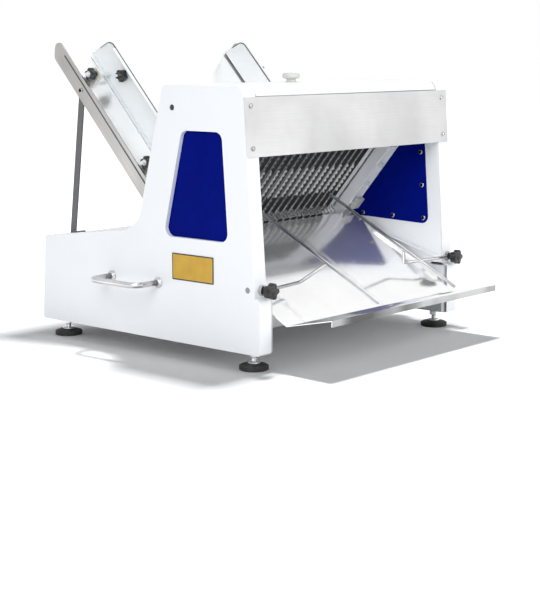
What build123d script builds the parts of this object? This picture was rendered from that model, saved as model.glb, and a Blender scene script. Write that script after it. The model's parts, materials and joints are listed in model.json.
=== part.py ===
from build123d import *
import os
from math import atan2, cos, degrees, radians, sin, sqrt, tan

# A table-top bread slicer: a loaf slides down the rear chute, through two
# sets of reciprocating blades, and out over the front slide and tray.
# Frame: X across the machine, Y from the operator's side to the rear, Z up.
# The origin is on the table, under the centre of the machine's box.

# Overall sizes
WIDTH = 680.0
PANEL_FRONT_Y = -255.0
PANEL_DEPTH = 650.0
TOWER_HEIGHT = 560.0
FOOT_CLEARANCE = 35.0

# Side panels, drawn as an outline in Y and Z
TOWER_TOP_FRONT_Y = -214.0
TOWER_TOP_REAR_Y = 7.0
TOWER_REAR_FOOT_Y = 80.0
TOWER_REAR_FOOT_Z = 282.0
BASE_TOP_FRONT_Y = 118.0
BASE_TOP_FRONT_Z = 255.0
BASE_TOP_REAR_Z = 223.0
REAR_EDGE_LEAN = 12.0
FRONT_LEAN = 4.26
POST_TOP_Z = 148.0
PANEL_SKIN = 2.0
PANEL_FLANGE = 35.0
WALL_T = 2.0
NOSE_R = 22.0
TAIL_R = 14.0
CONCAVE_R = 45.0
SMALL_R = 5.0

# Side windows
WINDOW_BOTTOM_Z = 253.0
WINDOW_TOP_Z = 470.0
WINDOW_FRONT_BOTTOM_Y = -172.0
WINDOW_REAR_BOTTOM_Y = 8.0
WINDOW_FRONT_TOP_Y = -156.0
WINDOW_REAR_TOP_Y = -46.0
WINDOW_R = 18.0
WINDOW_LIP = 7.0
WINDOW_LIP_T = 1.5
WINDOW_PLATE_T = 3.0
WINDOW_OVERLAP = 8.0

# Side panel furniture
NAME_PLATE_Y = -74.5
NAME_PLATE_Z = 193.0
NAME_PLATE_SIZE = (116.0, 55.0)
NAME_PLATE_T = 1.0
HANDLE_MID_Y = 95.0
HANDLE_Z = 154.0
HANDLE_SPAN = 140.0
HANDLE_REACH = 72.0
HANDLE_BAR_R = 6.0
HANDLE_BEND_R = 22.0
PLUG_TOP = (-20.0, 515.0)
PLUG_LOW = (-224.0, 164.0)
PLUG_R = 6.0

# Inner blue covers on the inner walls
INNER_COVER_T = 2.0
INNER_COVER_FRONT_Y = -201.0
INNER_COVER_TOP_Z = 487.0
INNER_COVER_BOTTOM_Z = 236.0
INNER_COVER_REAR_Y = 56.0
INNER_COVER_REAR_LEAN = 0.26
INNER_COVER_R = 16.0
SCREW_INSET = 13.0
LOW_SCREW_PITCH = 87.0
SCREW_HEAD_R = 5.0
SCREW_HEAD_T = 2.6

# Front and top covers
FRONT_COVER_DROP = 21.0
FRONT_COVER_HEIGHT = 116.0
FRONT_COVER_T = 2.0
FRONT_COVER_RETURN = 16.0
COVER_SCREW_X = 322.0
COVER_SCREW_INSET = 17.0
TOP_COVER_T = 2.0
COVER_GAP = 1.5
TOP_COVER_REAR_Y = 2.0
REAR_COVER_DROP = 19.0
REAR_COVER_HEIGHT = 141.0
HINGE_X = 200.0
HINGE_W = 60.0
HINGE_PIN_R = 3.0
HINGE_KNUCKLE_R = 5.5
HINGE_LEAF_L = 26.0
HINGE_LEAF_T = 2.0
KNOB_POST_Y = -45.0
COVER_KNOB_R = 19.0
COVER_KNOB_H = 20.0

# Loaf path: the chute's floor line and the direction of the blade frames
CHUTE_LOW_Y = 64.8327
CHUTE_LOW_Z = 310.906
CHUTE_SLOPE = 47.0
FRAME_SLOPE = 50.0

# Chute, with distances along the slope measured down from its top edge
CHUTE_RAIL_X = 290.0
CHUTE_RAIL_T = 3.0
CHUTE_RAIL_DEPTH = 37.0
CHUTE_RAIL_PROUD = 2.0
CHUTE_RAIL_TIP = 39.0
CHUTE_LENGTH = 424.0
CHUTE_FLOOR_T = 2.0
CHUTE_FLOOR_GAP = 2.5
COMB_LENGTH = 88.0
COMB_SLOT = 4.0
STRUT_W = 17.0
STRUT_T = 3.0
STRUT_TOP_D = 88.0
STRUT_TOP_N = 22.0
STRUT_FOOT_FROM_REAR = 45.0

# Adjustable loaf guides on the chute
GUIDE_X = 214.0
GUIDE_T = 2.0
GUIDE_HEIGHT = 63.0
GUIDE_FOOT_GAP = 1.0
GUIDE_LIP = 9.0
GUIDE_CORNER_R = 22.0
POST_D = (75.0, 325.0)
POST_N = 15.5
POST_R = 4.0
LUG_W = 26.0
LUG_H = 26.0
LUG_T = 8.0
GRIP_D = (106.0, 350.0)
GRIP_N = 44.0
GRIP_STUD_R = 3.0
GRIP_STUD_L = 30.0
RUN_FIT = 0.08

# Star knobs
CHUTE_KNOB_R = 14.0
FRONT_KNOB_R = 17.0
KNOB_LOBES = 5
KNOB_HUB = 0.55
KNOB_LENGTH = 1.5

# Blades and their two frames
BLADE_COUNT = 39
BLADE_PITCH = 12.0
BLADE_T = 0.8
BLADE_W = 12.0
BLADE_TOOTH = 1.4
BLADE_TOOTH_PITCH = 12.0
FRAME_BAR_X = 262.0
FRAME_BAR_W = 36.0
FRAME_BAR_DEPTH = 27.5
FRONT_FRAME_E = 187.8
REAR_FRAME_E = 220.8
FRAME_LOW_F = 122.0
FRAME_TOP_DROP = 196.8949
FRAME_CROSS_H = 26.0
POCKET_WALL = 4.0
POCKET_DEPTH = 19.0
RIB_PITCH = 58.0
RIB_T = 4.0
STROKE = 20.0

# Nylon blocks that the frames slide in
GUIDE_BLOCK_LOW_F = 197.0
GUIDE_BLOCK_DROP = 59.0
GUIDE_BLOCK_L = 30.0
GUIDE_BLOCK_CLEAR = 0.35
GUIDE_BLOCK_WALL = 8.0
GUIDE_BLOCK_LAP = 14.0

# Crank drive
CRANK_F = 45.0
SHAFT_R = 12.5
ECCENTRIC_R = 25.0
BEARING_R = 36.0
BEARING_W = 16.0
YOKE_X = 32.0
YOKE_T = 14.0
YOKE_WALL = 10.0
YOKE_CLEAR_F = 2.6
NECK_HALF = 9.0
YOKE_CLEAR_E = 1.5
BLOCK_X = 78.0
BLOCK_W = 24.0
BLOCK_R = 27.0
SUPPORT_T = 8.0
PULLEY_X = 118.0
PULLEY_W = 20.0
CRANK_PULLEY_R = 60.0
MOTOR_PULLEY_R = 26.4
BELT_H = 8.0
BELT_W = 12.0
BELT_GAP = 0.4
MOTOR_FROM_REAR = 99.0
MOTOR_Z = 146.0
MOTOR_R = 60.0
MOTOR_L = 180.0
MOTOR_SHAFT_R = 8.0
MOTOR_NOSE = 8.0
MOTOR_NOSE_R = 24.0
MOTOR_CAP_L = 22.0
MOTOR_CAP_R = 52.8
MOTOR_FOOT_INSET = 20.0
MOTOR_FOOT_T = 8.0
MOTOR_WEB_INSET = 30.0
MOTOR_WEB_HALF = 34.0
MOTOR_BOX_FROM_END = (50.0, 110.0)
MOTOR_BOX_Y = (30.0, 66.0)
MOTOR_BOX_Z = (10.0, 56.0)

# Base
TUBE = 30.0
TUBE_WALL = 2.0
SIDE_RAIL_W = 44.0
SIDE_RAIL_H = 42.0
POST_DEPTH = 38.0
FRONT_CROSS_Y = 100.0
CROSS_FROM_REAR = (179.0, 49.0)
BASE_COVER_FRONT_Y = 122.0
BASE_COVER_DROP = 2.5
SHEET_T = 1.5

# Feet
FOOT_X = 312.0
FOOT_FRONT_Y = -215.0
FOOT_FROM_REAR = 52.0
FOOT_PAD_R = 30.0
FOOT_PAD_H = 13.0
FOOT_STUD_R = 6.0
FOOT_NUT_H = 9.0

# Front slide, tray and wire guides
SLIDE_TOP_E = 168.0
SLIDE_HALF_W = 288.0
SLIDE_T = 1.5
SLIDE_SIDE_H = 12.0
TRAY_FOLD_Y = -280.0
TRAY_FOLD_Z = 92.0
TRAY_LIP_REACH = 115.0
TRAY_LIP_RISE = 25.0
TRAY_HEM = 13.0
LEDGE_REAR = (-62.0, 213.0)
LEDGE_FRONT = (-228.0, 166.0)
LEDGE_W = 14.0
WIRE_R = 3.5
WIRE_X = 135.0
WIRE_REAR_Y = -47.0
WIRE_REAR_Z = 306.0
WIRE_FRONT_Y = -390.0
WIRE_SLOPE = 27.0
CLAMP_X = 320.0
CLAMP_Z = 164.0
CLAMP_STUD_R = 4.0
CLAMP_STUD_L = 33.0
CLAMP_GAP = 1.6
ARM_BEND_X = 180.0
ARM_BEND_Y = -223.0

# Crumb drawer
DRAWER_FRONT_Y = -112.0
DRAWER_REAR_Y = 88.0
DRAWER_HALF_W = 272.0
DRAWER_BOTTOM_Z = 46.0
DRAWER_H = 28.0
RUNNER_FRONT_Y = -150.0
RUNNER_T = 3.0

# Switch box on the right side, and the rear panel's air slots and gland
SWITCH_Y = -75.0
SWITCH_Z = 190.0
SWITCH_W = 58.0
SWITCH_H = 96.0
SWITCH_D = 22.0
BUTTON_R = 13.0
BUTTON_PITCH = 44.0
BUTTON_PROUD = 7.0
BUTTON_TRAVEL = 3.0
SLOT_COUNT = 5
SLOT_X = (-120.0, 60.0)
SLOT_LOW_Z = 110.0
SLOT_PITCH = 14.0
SLOT_LENGTH = 90.0
SLOT_WIDTH = 5.0
GLAND_X = 235.0
GLAND_Z = 105.0
GLAND_BORE_R = 4.0

HALF = WIDTH / 2
PANEL_REAR_Y = PANEL_FRONT_Y + PANEL_DEPTH
CROSS_Y = (FRONT_CROSS_Y, PANEL_REAR_Y - CROSS_FROM_REAR[0], PANEL_REAR_Y - CROSS_FROM_REAR[1])
MOTOR_Y = PANEL_REAR_Y - MOTOR_FROM_REAR
FOOT_REAR_Y = PANEL_REAR_Y - FOOT_FROM_REAR
STRUT_FOOT_Y = PANEL_REAR_Y - STRUT_FOOT_FROM_REAR
FRONT_COVER_TOP_Z = TOWER_HEIGHT - FRONT_COVER_DROP
FRONT_COVER_BOTTOM_Z = FRONT_COVER_TOP_Z - FRONT_COVER_HEIGHT
REAR_COVER_TOP_Z = TOWER_HEIGHT - REAR_COVER_DROP
REAR_COVER_BOTTOM_Z = REAR_COVER_TOP_Z - REAR_COVER_HEIGHT
INNER_X = HALF - PANEL_FLANGE
CAVITY_X = INNER_X - WALL_T
CHUTE_TOP_Y = CHUTE_LOW_Y + CHUTE_LENGTH * cos(radians(CHUTE_SLOPE))
CHUTE_TOP_Z = CHUTE_LOW_Z + CHUTE_LENGTH * sin(radians(CHUTE_SLOPE))
COMB_START = CHUTE_LENGTH - COMB_LENGTH
FRAME_HIGH_F = (TOWER_HEIGHT - FRAME_TOP_DROP) / sin(radians(FRAME_SLOPE))
GUIDE_BLOCK_HIGH_F = FRAME_HIGH_F - GUIDE_BLOCK_DROP
CHUTE = Plane(
    origin=(0, CHUTE_TOP_Y, CHUTE_TOP_Z),
    x_dir=(1, 0, 0),
    z_dir=(0, -sin(radians(CHUTE_SLOPE)), cos(radians(CHUTE_SLOPE))),
)
FRAMES = Plane(
    origin=(0, 0, 0),
    x_dir=(1, 0, 0),
    z_dir=(0, -sin(radians(FRAME_SLOPE)), -cos(radians(FRAME_SLOPE))),
)
CRANK_E = (FRONT_FRAME_E + REAR_FRAME_E) / 2


# Shared helpers

def front_y(z):
    """Y of the side panels' leaning front face at height z."""
    return TOWER_TOP_FRONT_Y - (TOWER_HEIGHT - NOSE_R - z) * tan(radians(FRONT_LEAN))


def chute_point(d, n, x=0.0):
    """The point d down the chute's slope and n above its floor."""
    slope = radians(CHUTE_SLOPE)
    y = CHUTE_TOP_Y - d * cos(slope) - n * sin(slope)
    z = CHUTE_TOP_Z - d * sin(slope) + n * cos(slope)
    return (x, y, z)


def frame_point(f, e, x=0.0):
    """The point f up the blade frames and e along the loaf's way back."""
    slope = radians(FRAME_SLOPE)
    return (x, e * sin(slope) - f * cos(slope), e * cos(slope) + f * sin(slope))


def frame_coords(point):
    """The f and e of a point."""
    slope = radians(FRAME_SLOPE)
    f = -point[1] * cos(slope) + point[2] * sin(slope)
    e = point[1] * sin(slope) + point[2] * cos(slope)
    return f, e


def block(x, y, z, plane=Plane.XY):
    """A box given by its low and high values along a plane's directions."""
    size = (x[1] - x[0], y[1] - y[0], z[1] - z[0])
    corner = Box(*size, align=(Align.MIN, Align.MIN, Align.MIN))
    return plane * Pos(x[0], y[0], z[0]) * corner


def bar(start, end, radius):
    """A round bar between two points."""
    start = Vector(*start)
    along = Vector(*end) - start
    foot = Plane(origin=start, z_dir=along)
    return foot * Cylinder(radius, along.length, align=(Align.CENTER, Align.CENTER, Align.MIN))


def mirrored(shape):
    """The same piece on the machine's other side."""
    return mirror(shape, about=Plane.YZ)


def sided(shape, side):
    """A left-hand piece for side -1, and its mirror image for side 1."""
    return shape if side < 0 else mirrored(shape)


def outline(points, radii):
    """A closed outline whose corners are rounded by their own radii."""
    face = Polygon(*points, align=None)
    for point, radius in zip(points, radii):
        if radius > 0:
            corner = face.vertices().sort_by_distance((point[0], point[1], 0))[0]
            face = fillet(corner, radius)
    return face


def in_yz(face, x0, x1):
    """An outline drawn in Y and Z, given thickness from x0 to x1."""
    return Pos(x0, 0, 0) * extrude(Plane.YZ * face, x1 - x0, dir=(1, 0, 0))


def bent_bar(points, radius, bend):
    """A round bar along straight runs joined by bends of one radius."""
    path = FilletPolyline(*points, radius=bend)
    start = Plane(origin=path @ 0, z_dir=path % 0)
    return sweep(start * Circle(radius), path=path)


def ring(x, y, z, outer, inner, width):
    """A ring along X, centred on a point."""
    solid = Cylinder(outer, width) - Cylinder(inner, width + 2)
    return Pos(x, y, z) * Rot(0, 90, 0) * solid


def star_knob(radius, bore):
    """A star knob on its axis: hub at z = 0, lobes above, made round a bore."""
    hub_h = radius * KNOB_HUB
    head_h = radius * (KNOB_LENGTH - KNOB_HUB)
    hub = Cylinder(radius * 0.5, hub_h, align=(Align.CENTER, Align.CENTER, Align.MIN))
    head = Cylinder(radius * 0.74, head_h, align=(Align.CENTER, Align.CENTER, Align.MIN))
    for i in range(KNOB_LOBES):
        turn = i * 360.0 / KNOB_LOBES
        lobe = Pos(radius * 0.68, 0, 0) * Cylinder(
            radius * 0.32, head_h, align=(Align.CENTER, Align.CENTER, Align.MIN)
        )
        head = head + Rot(0, 0, turn) * lobe
    knob = hub + Pos(0, 0, hub_h) * head
    if bore > 0:
        knob = knob - Cylinder(bore, 4 * radius)
    return knob


def pan_screw(head_r, head_t):
    """A pan-head screw whose head stands on z = 0."""
    head = Cylinder(head_r, head_t, align=(Align.CENTER, Align.CENTER, Align.MIN))
    head = fillet(head.edges().sort_by(Axis.Z)[-1], head_t * 0.45)
    slot_w = head_r * 0.28
    cross = Box(head_r * 1.1, slot_w, head_t) + Box(slot_w, head_r * 1.1, head_t)
    return head - Pos(0, 0, head_t) * cross


def group(pieces):
    """Separate solids kept together in one node."""
    return Compound(children=list(pieces))


# Casing

def panel_points():
    """Corners and radii of a side panel's outline."""
    top = TOWER_HEIGHT
    rear = PANEL_REAR_Y
    points = [
        (PANEL_FRONT_Y, FOOT_CLEARANCE),
        (rear, FOOT_CLEARANCE),
        (rear - REAR_EDGE_LEAN, BASE_TOP_REAR_Z),
        (BASE_TOP_FRONT_Y, BASE_TOP_FRONT_Z),
        (TOWER_REAR_FOOT_Y, TOWER_REAR_FOOT_Z),
        (TOWER_TOP_REAR_Y, top),
        (front_y(top), top),
        (front_y(POST_TOP_Z), POST_TOP_Z),
        (PANEL_FRONT_Y, POST_TOP_Z),
    ]
    radii = [SMALL_R, SMALL_R, SMALL_R, CONCAVE_R, CONCAVE_R, TAIL_R, NOSE_R, 0, SMALL_R]
    return points, radii


def panel_outline():
    return outline(*panel_points())


def window_outline(grow):
    """The window's outline, larger all round by grow."""
    points = [
        (WINDOW_FRONT_BOTTOM_Y, WINDOW_BOTTOM_Z),
        (WINDOW_REAR_BOTTOM_Y, WINDOW_BOTTOM_Z),
        (WINDOW_REAR_TOP_Y, WINDOW_TOP_Z),
        (WINDOW_FRONT_TOP_Y, WINDOW_TOP_Z),
    ]
    face = outline(points, [WINDOW_R] * 4)
    return offset(face, grow) if grow else face


def side_panel():
    """Left side panel: a folded steel tray, open on the machine's side."""
    face = panel_outline()
    inside = offset(face, -PANEL_SKIN, kind=Kind.INTERSECTION)
    shell = in_yz(face, -HALF, -INNER_X)
    shell = shell - in_yz(inside, -HALF + PANEL_SKIN, -INNER_X + 1)
    hole = in_yz(window_outline(0), -HALF - 1, -HALF + PANEL_SKIN + 1)
    lip_depth = PANEL_SKIN + WINDOW_LIP
    lip = in_yz(window_outline(WINDOW_LIP_T), -HALF + PANEL_SKIN, -HALF + lip_depth)
    lip = lip - in_yz(window_outline(0), -HALF, -HALF + lip_depth + 1)
    stud_y = clamp_seat_y()
    stud = bar((-CLAMP_X, stud_y - 10, CLAMP_Z), (-CLAMP_X, stud_y + 10, CLAMP_Z), CLAMP_STUD_R + RUN_FIT)
    return shell - hole - stud + lip


def window_plate():
    """Left window: a blue plate behind the cut-out's lip."""
    x0 = -HALF + PANEL_SKIN + WINDOW_LIP
    return in_yz(window_outline(WINDOW_OVERLAP), x0, x0 + WINDOW_PLATE_T)


def inner_wall():
    """Left inner wall, which closes the side panel, with the slide's ledge."""
    face = offset(panel_outline(), -PANEL_SKIN - 0.5, kind=Kind.INTERSECTION)
    wall = in_yz(face, -INNER_X, -CAVITY_X)
    rail_top = FOOT_CLEARANCE + TUBE_WALL + SIDE_RAIL_H
    low = (PANEL_FRONT_Y - 5, PANEL_REAR_Y + 5), (0, rail_top + 1)
    wall = wall - block((-INNER_X - 1, -CAVITY_X + 1), *low)
    post_rear = PANEL_FRONT_Y + PANEL_SKIN + SMALL_R + POST_DEPTH
    post = (PANEL_FRONT_Y - 5, post_rear), (0, POST_TOP_Z + 2)
    wall = wall - block((-INNER_X - 1, -CAVITY_X + 1), *post)
    ledge_face = Polygon(
        LEDGE_REAR,
        LEDGE_FRONT,
        (LEDGE_FRONT[0], LEDGE_FRONT[1] - WALL_T),
        (LEDGE_REAR[0], LEDGE_REAR[1] - WALL_T),
        align=None,
    )
    ledge = in_yz(ledge_face, -CAVITY_X, -CAVITY_X + LEDGE_W)
    return wall + ledge


def inner_cover():
    """Left blue cover plate on the inner wall."""
    lean = tan(radians(FRONT_LEAN))
    rise = INNER_COVER_TOP_Z - INNER_COVER_BOTTOM_Z
    points = [
        (INNER_COVER_FRONT_Y, INNER_COVER_BOTTOM_Z),
        (INNER_COVER_REAR_Y, INNER_COVER_BOTTOM_Z + 8),
        (INNER_COVER_REAR_Y - rise * INNER_COVER_REAR_LEAN, INNER_COVER_TOP_Z),
        (INNER_COVER_FRONT_Y + rise * lean, INNER_COVER_TOP_Z),
    ]
    face = outline(points, [INNER_COVER_R] * 4)
    return in_yz(face, -CAVITY_X, -CAVITY_X + INNER_COVER_T)


def inner_cover_screw_places():
    """Y and Z of the screws round an inner cover."""
    lean = tan(radians(FRONT_LEAN))
    low = INNER_COVER_BOTTOM_Z + SCREW_INSET
    high = INNER_COVER_TOP_Z - SCREW_INSET
    places = []
    for i in range(4):
        z = low + (high - low) * i / 3
        places.append((INNER_COVER_FRONT_Y + SCREW_INSET + (z - low) * lean, z))
    for i in range(1, 3):
        places.append((INNER_COVER_FRONT_Y + SCREW_INSET + i * LOW_SCREW_PITCH, low))
    return places


def front_plane(z):
    """A plane on the panels' leaning front face, facing the operator."""
    lean = radians(FRONT_LEAN)
    return Plane(
        origin=(0, front_y(z), z), x_dir=(1, 0, 0), z_dir=(0, -cos(lean), sin(lean))
    )


def panel_screws():
    """Pan screws of the inner covers and of the front cover."""
    screws = []
    for y, z in inner_cover_screw_places():
        x = -CAVITY_X + INNER_COVER_T
        screw = Pos(x, y, z) * Rot(0, 90, 0) * pan_screw(SCREW_HEAD_R, SCREW_HEAD_T)
        screws.append(screw)
        screws.append(mirrored(screw))
    for z in (FRONT_COVER_TOP_Z - COVER_SCREW_INSET, FRONT_COVER_BOTTOM_Z + COVER_SCREW_INSET):
        for side in (-1, 1):
            seat = front_plane(z) * Pos(side * COVER_SCREW_X, 0, FRONT_COVER_T)
            screws.append(seat * pan_screw(SCREW_HEAD_R, SCREW_HEAD_T))
    for side in (-1, 1):
        seat = CHUTE * Pos(side * CHUTE_RAIL_X, -STRUT_TOP_D, -STRUT_TOP_N) * Rot(0, side * 90, 0)
        screws.append(seat * pan_screw(SCREW_HEAD_R, SCREW_HEAD_T))
    return group(screws)


def front_cover():
    """Stainless front cover over both towers, with returns top and bottom."""
    height = (FRONT_COVER_TOP_Z - FRONT_COVER_BOTTOM_Z) / cos(radians(FRONT_LEAN))
    plane = front_plane(FRONT_COVER_BOTTOM_Z)
    face = block((-HALF, HALF), (0, height), (0, FRONT_COVER_T), plane)
    inside = CAVITY_X - COVER_GAP
    low = block((-inside, inside), (0, FRONT_COVER_T), (-FRONT_COVER_RETURN, 0), plane)
    return face + low


def cover_profile(grow):
    """Outline of the top cover's outside, moved inwards by grow."""
    top = TOWER_HEIGHT - grow
    front = front_y(TOWER_HEIGHT) + grow
    rear = TOP_COVER_REAR_Y + grow
    low = FRONT_COVER_TOP_Z - NOSE_R
    points = [(front, low), (rear, low), (rear, top), (front, top)]
    return outline(points, [0, 0, 0, NOSE_R - grow])


def top_cover():
    """White top cover with a rounded nose, which lifts on rear hinges."""
    x = CAVITY_X - COVER_GAP
    shell = in_yz(cover_profile(0), -x, x)
    shell = shell - in_yz(cover_profile(TOP_COVER_T), -x + TOP_COVER_T, x - TOP_COVER_T)
    depth = (front_y(TOWER_HEIGHT) - 5, TOWER_TOP_REAR_Y + 5)
    shell = shell - block((-x - 1, x + 1), depth, (0, FRONT_COVER_TOP_Z + COVER_GAP))
    rear_band = (TOP_COVER_REAR_Y - HINGE_LEAF_L - 2, TOWER_TOP_REAR_Y + 5)
    open_rear = block((-x - 1, x + 1), rear_band, (0, TOWER_HEIGHT - TOP_COVER_T))
    return shell - open_rear


def hinge_axis():
    """A point on the top cover's hinge line."""
    return (0.0, TOP_COVER_REAR_Y + HINGE_KNUCKLE_R + 1.5, TOWER_HEIGHT - HINGE_KNUCKLE_R - 1)


def rear_cover_y(z):
    """Y of the rear blade cover's rear face at height z."""
    lean = (TOWER_REAR_FOOT_Y - TOWER_TOP_REAR_Y) / (TOWER_HEIGHT - TOWER_REAR_FOOT_Z)
    return TOWER_TOP_REAR_Y - 4 + (REAR_COVER_TOP_Z - z) * lean


def rear_blade_cover():
    """Fixed white plate behind the blades, from the lid down to the chute."""
    z0 = REAR_COVER_TOP_Z
    z1 = REAR_COVER_BOTTOM_Z
    points = [
        (rear_cover_y(z0), z0),
        (rear_cover_y(z0) - SHEET_T, z0),
        (rear_cover_y(z1) - SHEET_T, z1),
        (rear_cover_y(z1), z1),
    ]
    plate = in_yz(Polygon(*points, align=None), -CAVITY_X, CAVITY_X)
    fold_y = rear_cover_y(z1)
    fold = block((-CAVITY_X, CAVITY_X), (fold_y - 14, fold_y), (z1, z1 + SHEET_T))
    return plate + fold


def hinge_leaf_places():
    """X of the top cover's two hinges."""
    return (-HINGE_X, HINGE_X)


def cover_hinges():
    """Fixed halves of the top cover's hinges, with their pins."""
    y, z = hinge_axis()[1:]
    leaf_low = REAR_COVER_TOP_Z - HINGE_LEAF_L
    leaf_points = [
        (rear_cover_y(leaf_low), leaf_low),
        (rear_cover_y(leaf_low) + HINGE_LEAF_T, leaf_low),
        (y, z - HINGE_KNUCKLE_R),
        (y, z),
        (y - HINGE_KNUCKLE_R, z),
        (rear_cover_y(REAR_COVER_TOP_Z), REAR_COVER_TOP_Z),
    ]
    halves = []
    for x in hinge_leaf_places():
        pin = bar((x - HINGE_W / 2, y, z), (x + HINGE_W / 2, y, z), HINGE_PIN_R)
        leaf = in_yz(Polygon(*leaf_points, align=None), x - HINGE_W / 6, x + HINGE_W / 6)
        knuckle = bar((x - HINGE_W / 6, y, z), (x + HINGE_W / 6, y, z), HINGE_KNUCKLE_R)
        halves.append(leaf + knuckle + pin)
    return group(halves)


def cover_hinge_knuckles():
    """Moving halves of the top cover's hinges."""
    y, z = hinge_axis()[1:]
    halves = []
    leaf_top = TOWER_HEIGHT - TOP_COVER_T
    for x in hinge_leaf_places():
        leaf = block(
            (x - HINGE_W / 2, x + HINGE_W / 2),
            (TOP_COVER_REAR_Y - HINGE_LEAF_L, TOP_COVER_REAR_Y),
            (leaf_top - HINGE_LEAF_T, leaf_top),
        )
        for side in (-1, 1):
            a = x + side * (HINGE_W / 6 + 0.5)
            b = x + side * (HINGE_W / 2 - 1)
            span = (min(a, b), max(a, b))
            knuckle = bar((a, y, z), (b, y, z), HINGE_KNUCKLE_R)
            ear = block(span, (TOP_COVER_REAR_Y - 3, y), (leaf_top - HINGE_LEAF_T, leaf_top))
            hole = bar((a - side, y, z), (b + side, y, z), HINGE_PIN_R + RUN_FIT)
            leaf = leaf + knuckle + ear - hole
        halves.append(leaf)
    return group(halves)


def cover_knob():
    """Lifting knob on the top cover."""
    neck = Cylinder(COVER_KNOB_R * 0.6, 6, align=(Align.CENTER, Align.CENTER, Align.MIN))
    head = Cylinder(COVER_KNOB_R, COVER_KNOB_H - 6, align=(Align.CENTER, Align.CENTER, Align.MIN))
    head = fillet(head.edges().sort_by(Axis.Z)[-1], 4)
    return Pos(0, KNOB_POST_Y, TOWER_HEIGHT) * (neck + Pos(0, 0, 6) * head)


def name_plate():
    """Bare plate on the left side panel."""
    w, h = NAME_PLATE_SIZE
    face = Pos(NAME_PLATE_Y, NAME_PLATE_Z) * RectangleRounded(w, h, 2)
    return in_yz(face, -HALF - NAME_PLATE_T, -HALF)


def panel_plugs():
    """Round plugs in the side panels."""
    plugs = []
    for y, z in (PLUG_TOP, PLUG_LOW):
        plug = bar((-HALF - 1.5, y, z), (-HALF, y, z), PLUG_R)
        plugs.append(plug)
        plugs.append(mirrored(plug))
    return group(plugs)


def carry_handle():
    """Left U handle: a bent bar between two round feet."""
    y0 = HANDLE_MID_Y - HANDLE_SPAN / 2
    y1 = HANDLE_MID_Y + HANDLE_SPAN / 2
    out = -HALF - HANDLE_REACH + HANDLE_BAR_R
    points = [
        (-HALF, y0, HANDLE_Z),
        (out, y0, HANDLE_Z),
        (out, y1, HANDLE_Z),
        (-HALF, y1, HANDLE_Z),
    ]
    handle = bent_bar(points, HANDLE_BAR_R, HANDLE_BEND_R)
    for y in (y0, y1):
        handle = handle + bar((-HALF - 4, y, HANDLE_Z), (-HALF, y, HANDLE_Z), HANDLE_BAR_R * 1.9)
    return handle


# Base

def square_tube(x, y, z):
    """A closed-ended tube between low and high values, hollow inside."""
    wall = TUBE_WALL
    outer = block(x, y, z)
    spans = [(v[0] + wall, v[1] - wall) for v in (x, y, z)]
    return outer - block(*spans)


def base_frame():
    """Welded base: two side rails with front posts, and cross tubes."""
    outer_x = HALF - PANEL_SKIN - 0.5
    inner_x = outer_x - SIDE_RAIL_W
    low = FOOT_CLEARANCE + PANEL_SKIN
    front = PANEL_FRONT_Y + PANEL_SKIN + SMALL_R
    rear = PANEL_REAR_Y - REAR_EDGE_LEAN
    frame = None
    for side in (-1, 1):
        x = (-outer_x, -inner_x) if side < 0 else (inner_x, outer_x)
        rail = square_tube(x, (front, rear), (low, low + SIDE_RAIL_H))
        post = square_tube(x, (front, front + POST_DEPTH), (low + SIDE_RAIL_H, POST_TOP_Z - 3))
        frame = rail + post if frame is None else frame + rail + post
    for y in CROSS_Y:
        frame = frame + square_tube((-inner_x, inner_x), (y, y + TUBE), (low, low + TUBE))
    for side in (-1, 1):
        x_wall = side * inner_x
        x_in = side * (DRAWER_HALF_W - 8)
        span = (min(x_wall, x_in), max(x_wall, x_in))
        top = DRAWER_BOTTOM_Z - 1
        runner = block(span, (RUNNER_FRONT_Y, CROSS_Y[0]), (top - RUNNER_T, top))
        frame = frame + runner
    return frame


def crank_centre(x=0.0):
    return frame_point(CRANK_F, CRANK_E, x)


def crank_supports():
    """Upright plates that carry the crank's bearing blocks."""
    y, z = crank_centre()[1:]
    low = FOOT_CLEARANCE + PANEL_SKIN + TUBE
    plates = []
    for side in (-1, 1):
        xa = side * BLOCK_X - SUPPORT_T / 2
        face = Polygon(
            (CROSS_Y[0], low),
            (CROSS_Y[1] + TUBE / 2, low),
            (CROSS_Y[1] + TUBE / 2, low + 20),
            (y + BLOCK_R + 8, z),
            (y + BLOCK_R, z + BLOCK_R + 8),
            (y - BLOCK_R + 2, z + BLOCK_R + 8),
            (CROSS_Y[0], z),
            align=None,
        )
        plate = in_yz(face, xa, xa + SUPPORT_T)
        hole = bar((xa - 1, y, z), (xa + SUPPORT_T + 1, y, z), SHAFT_R + 2)
        plates.append(plate - hole)
    return group(plates)


def bearing_blocks():
    """Flanged bearings on the outer faces of the supports."""
    y, z = crank_centre()[1:]
    blocks = []
    for side in (-1, 1):
        face_x = side * (BLOCK_X + SUPPORT_T / 2)
        far_x = face_x + side * BLOCK_W * 0.6
        body = bar((face_x, y, z), (far_x, y, z), BLOCK_R * 0.8)
        flange = bar((face_x, y, z), (face_x + side * 5, y, z), BLOCK_R)
        hole = bar((face_x - side, y, z), (far_x + side, y, z), SHAFT_R + RUN_FIT)
        blocks.append(body + flange - hole)
    return group(blocks)


def crankshaft():
    """Shaft with two eccentrics a half-turn apart."""
    y, z = crank_centre()[1:]
    throw = STROKE / 2
    reach = BLOCK_X + BLOCK_W
    shaft = bar((-reach, y, z), (PULLEY_X + PULLEY_W, y, z), SHAFT_R)
    for side in (-1, 1):
        centre = frame_point(CRANK_F, CRANK_E + side * throw, side * YOKE_X)
        a = (centre[0] - BEARING_W / 2, centre[1], centre[2])
        b = (centre[0] + BEARING_W / 2, centre[1], centre[2])
        shaft = shaft + bar(a, b, ECCENTRIC_R)
    return shaft


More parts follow.
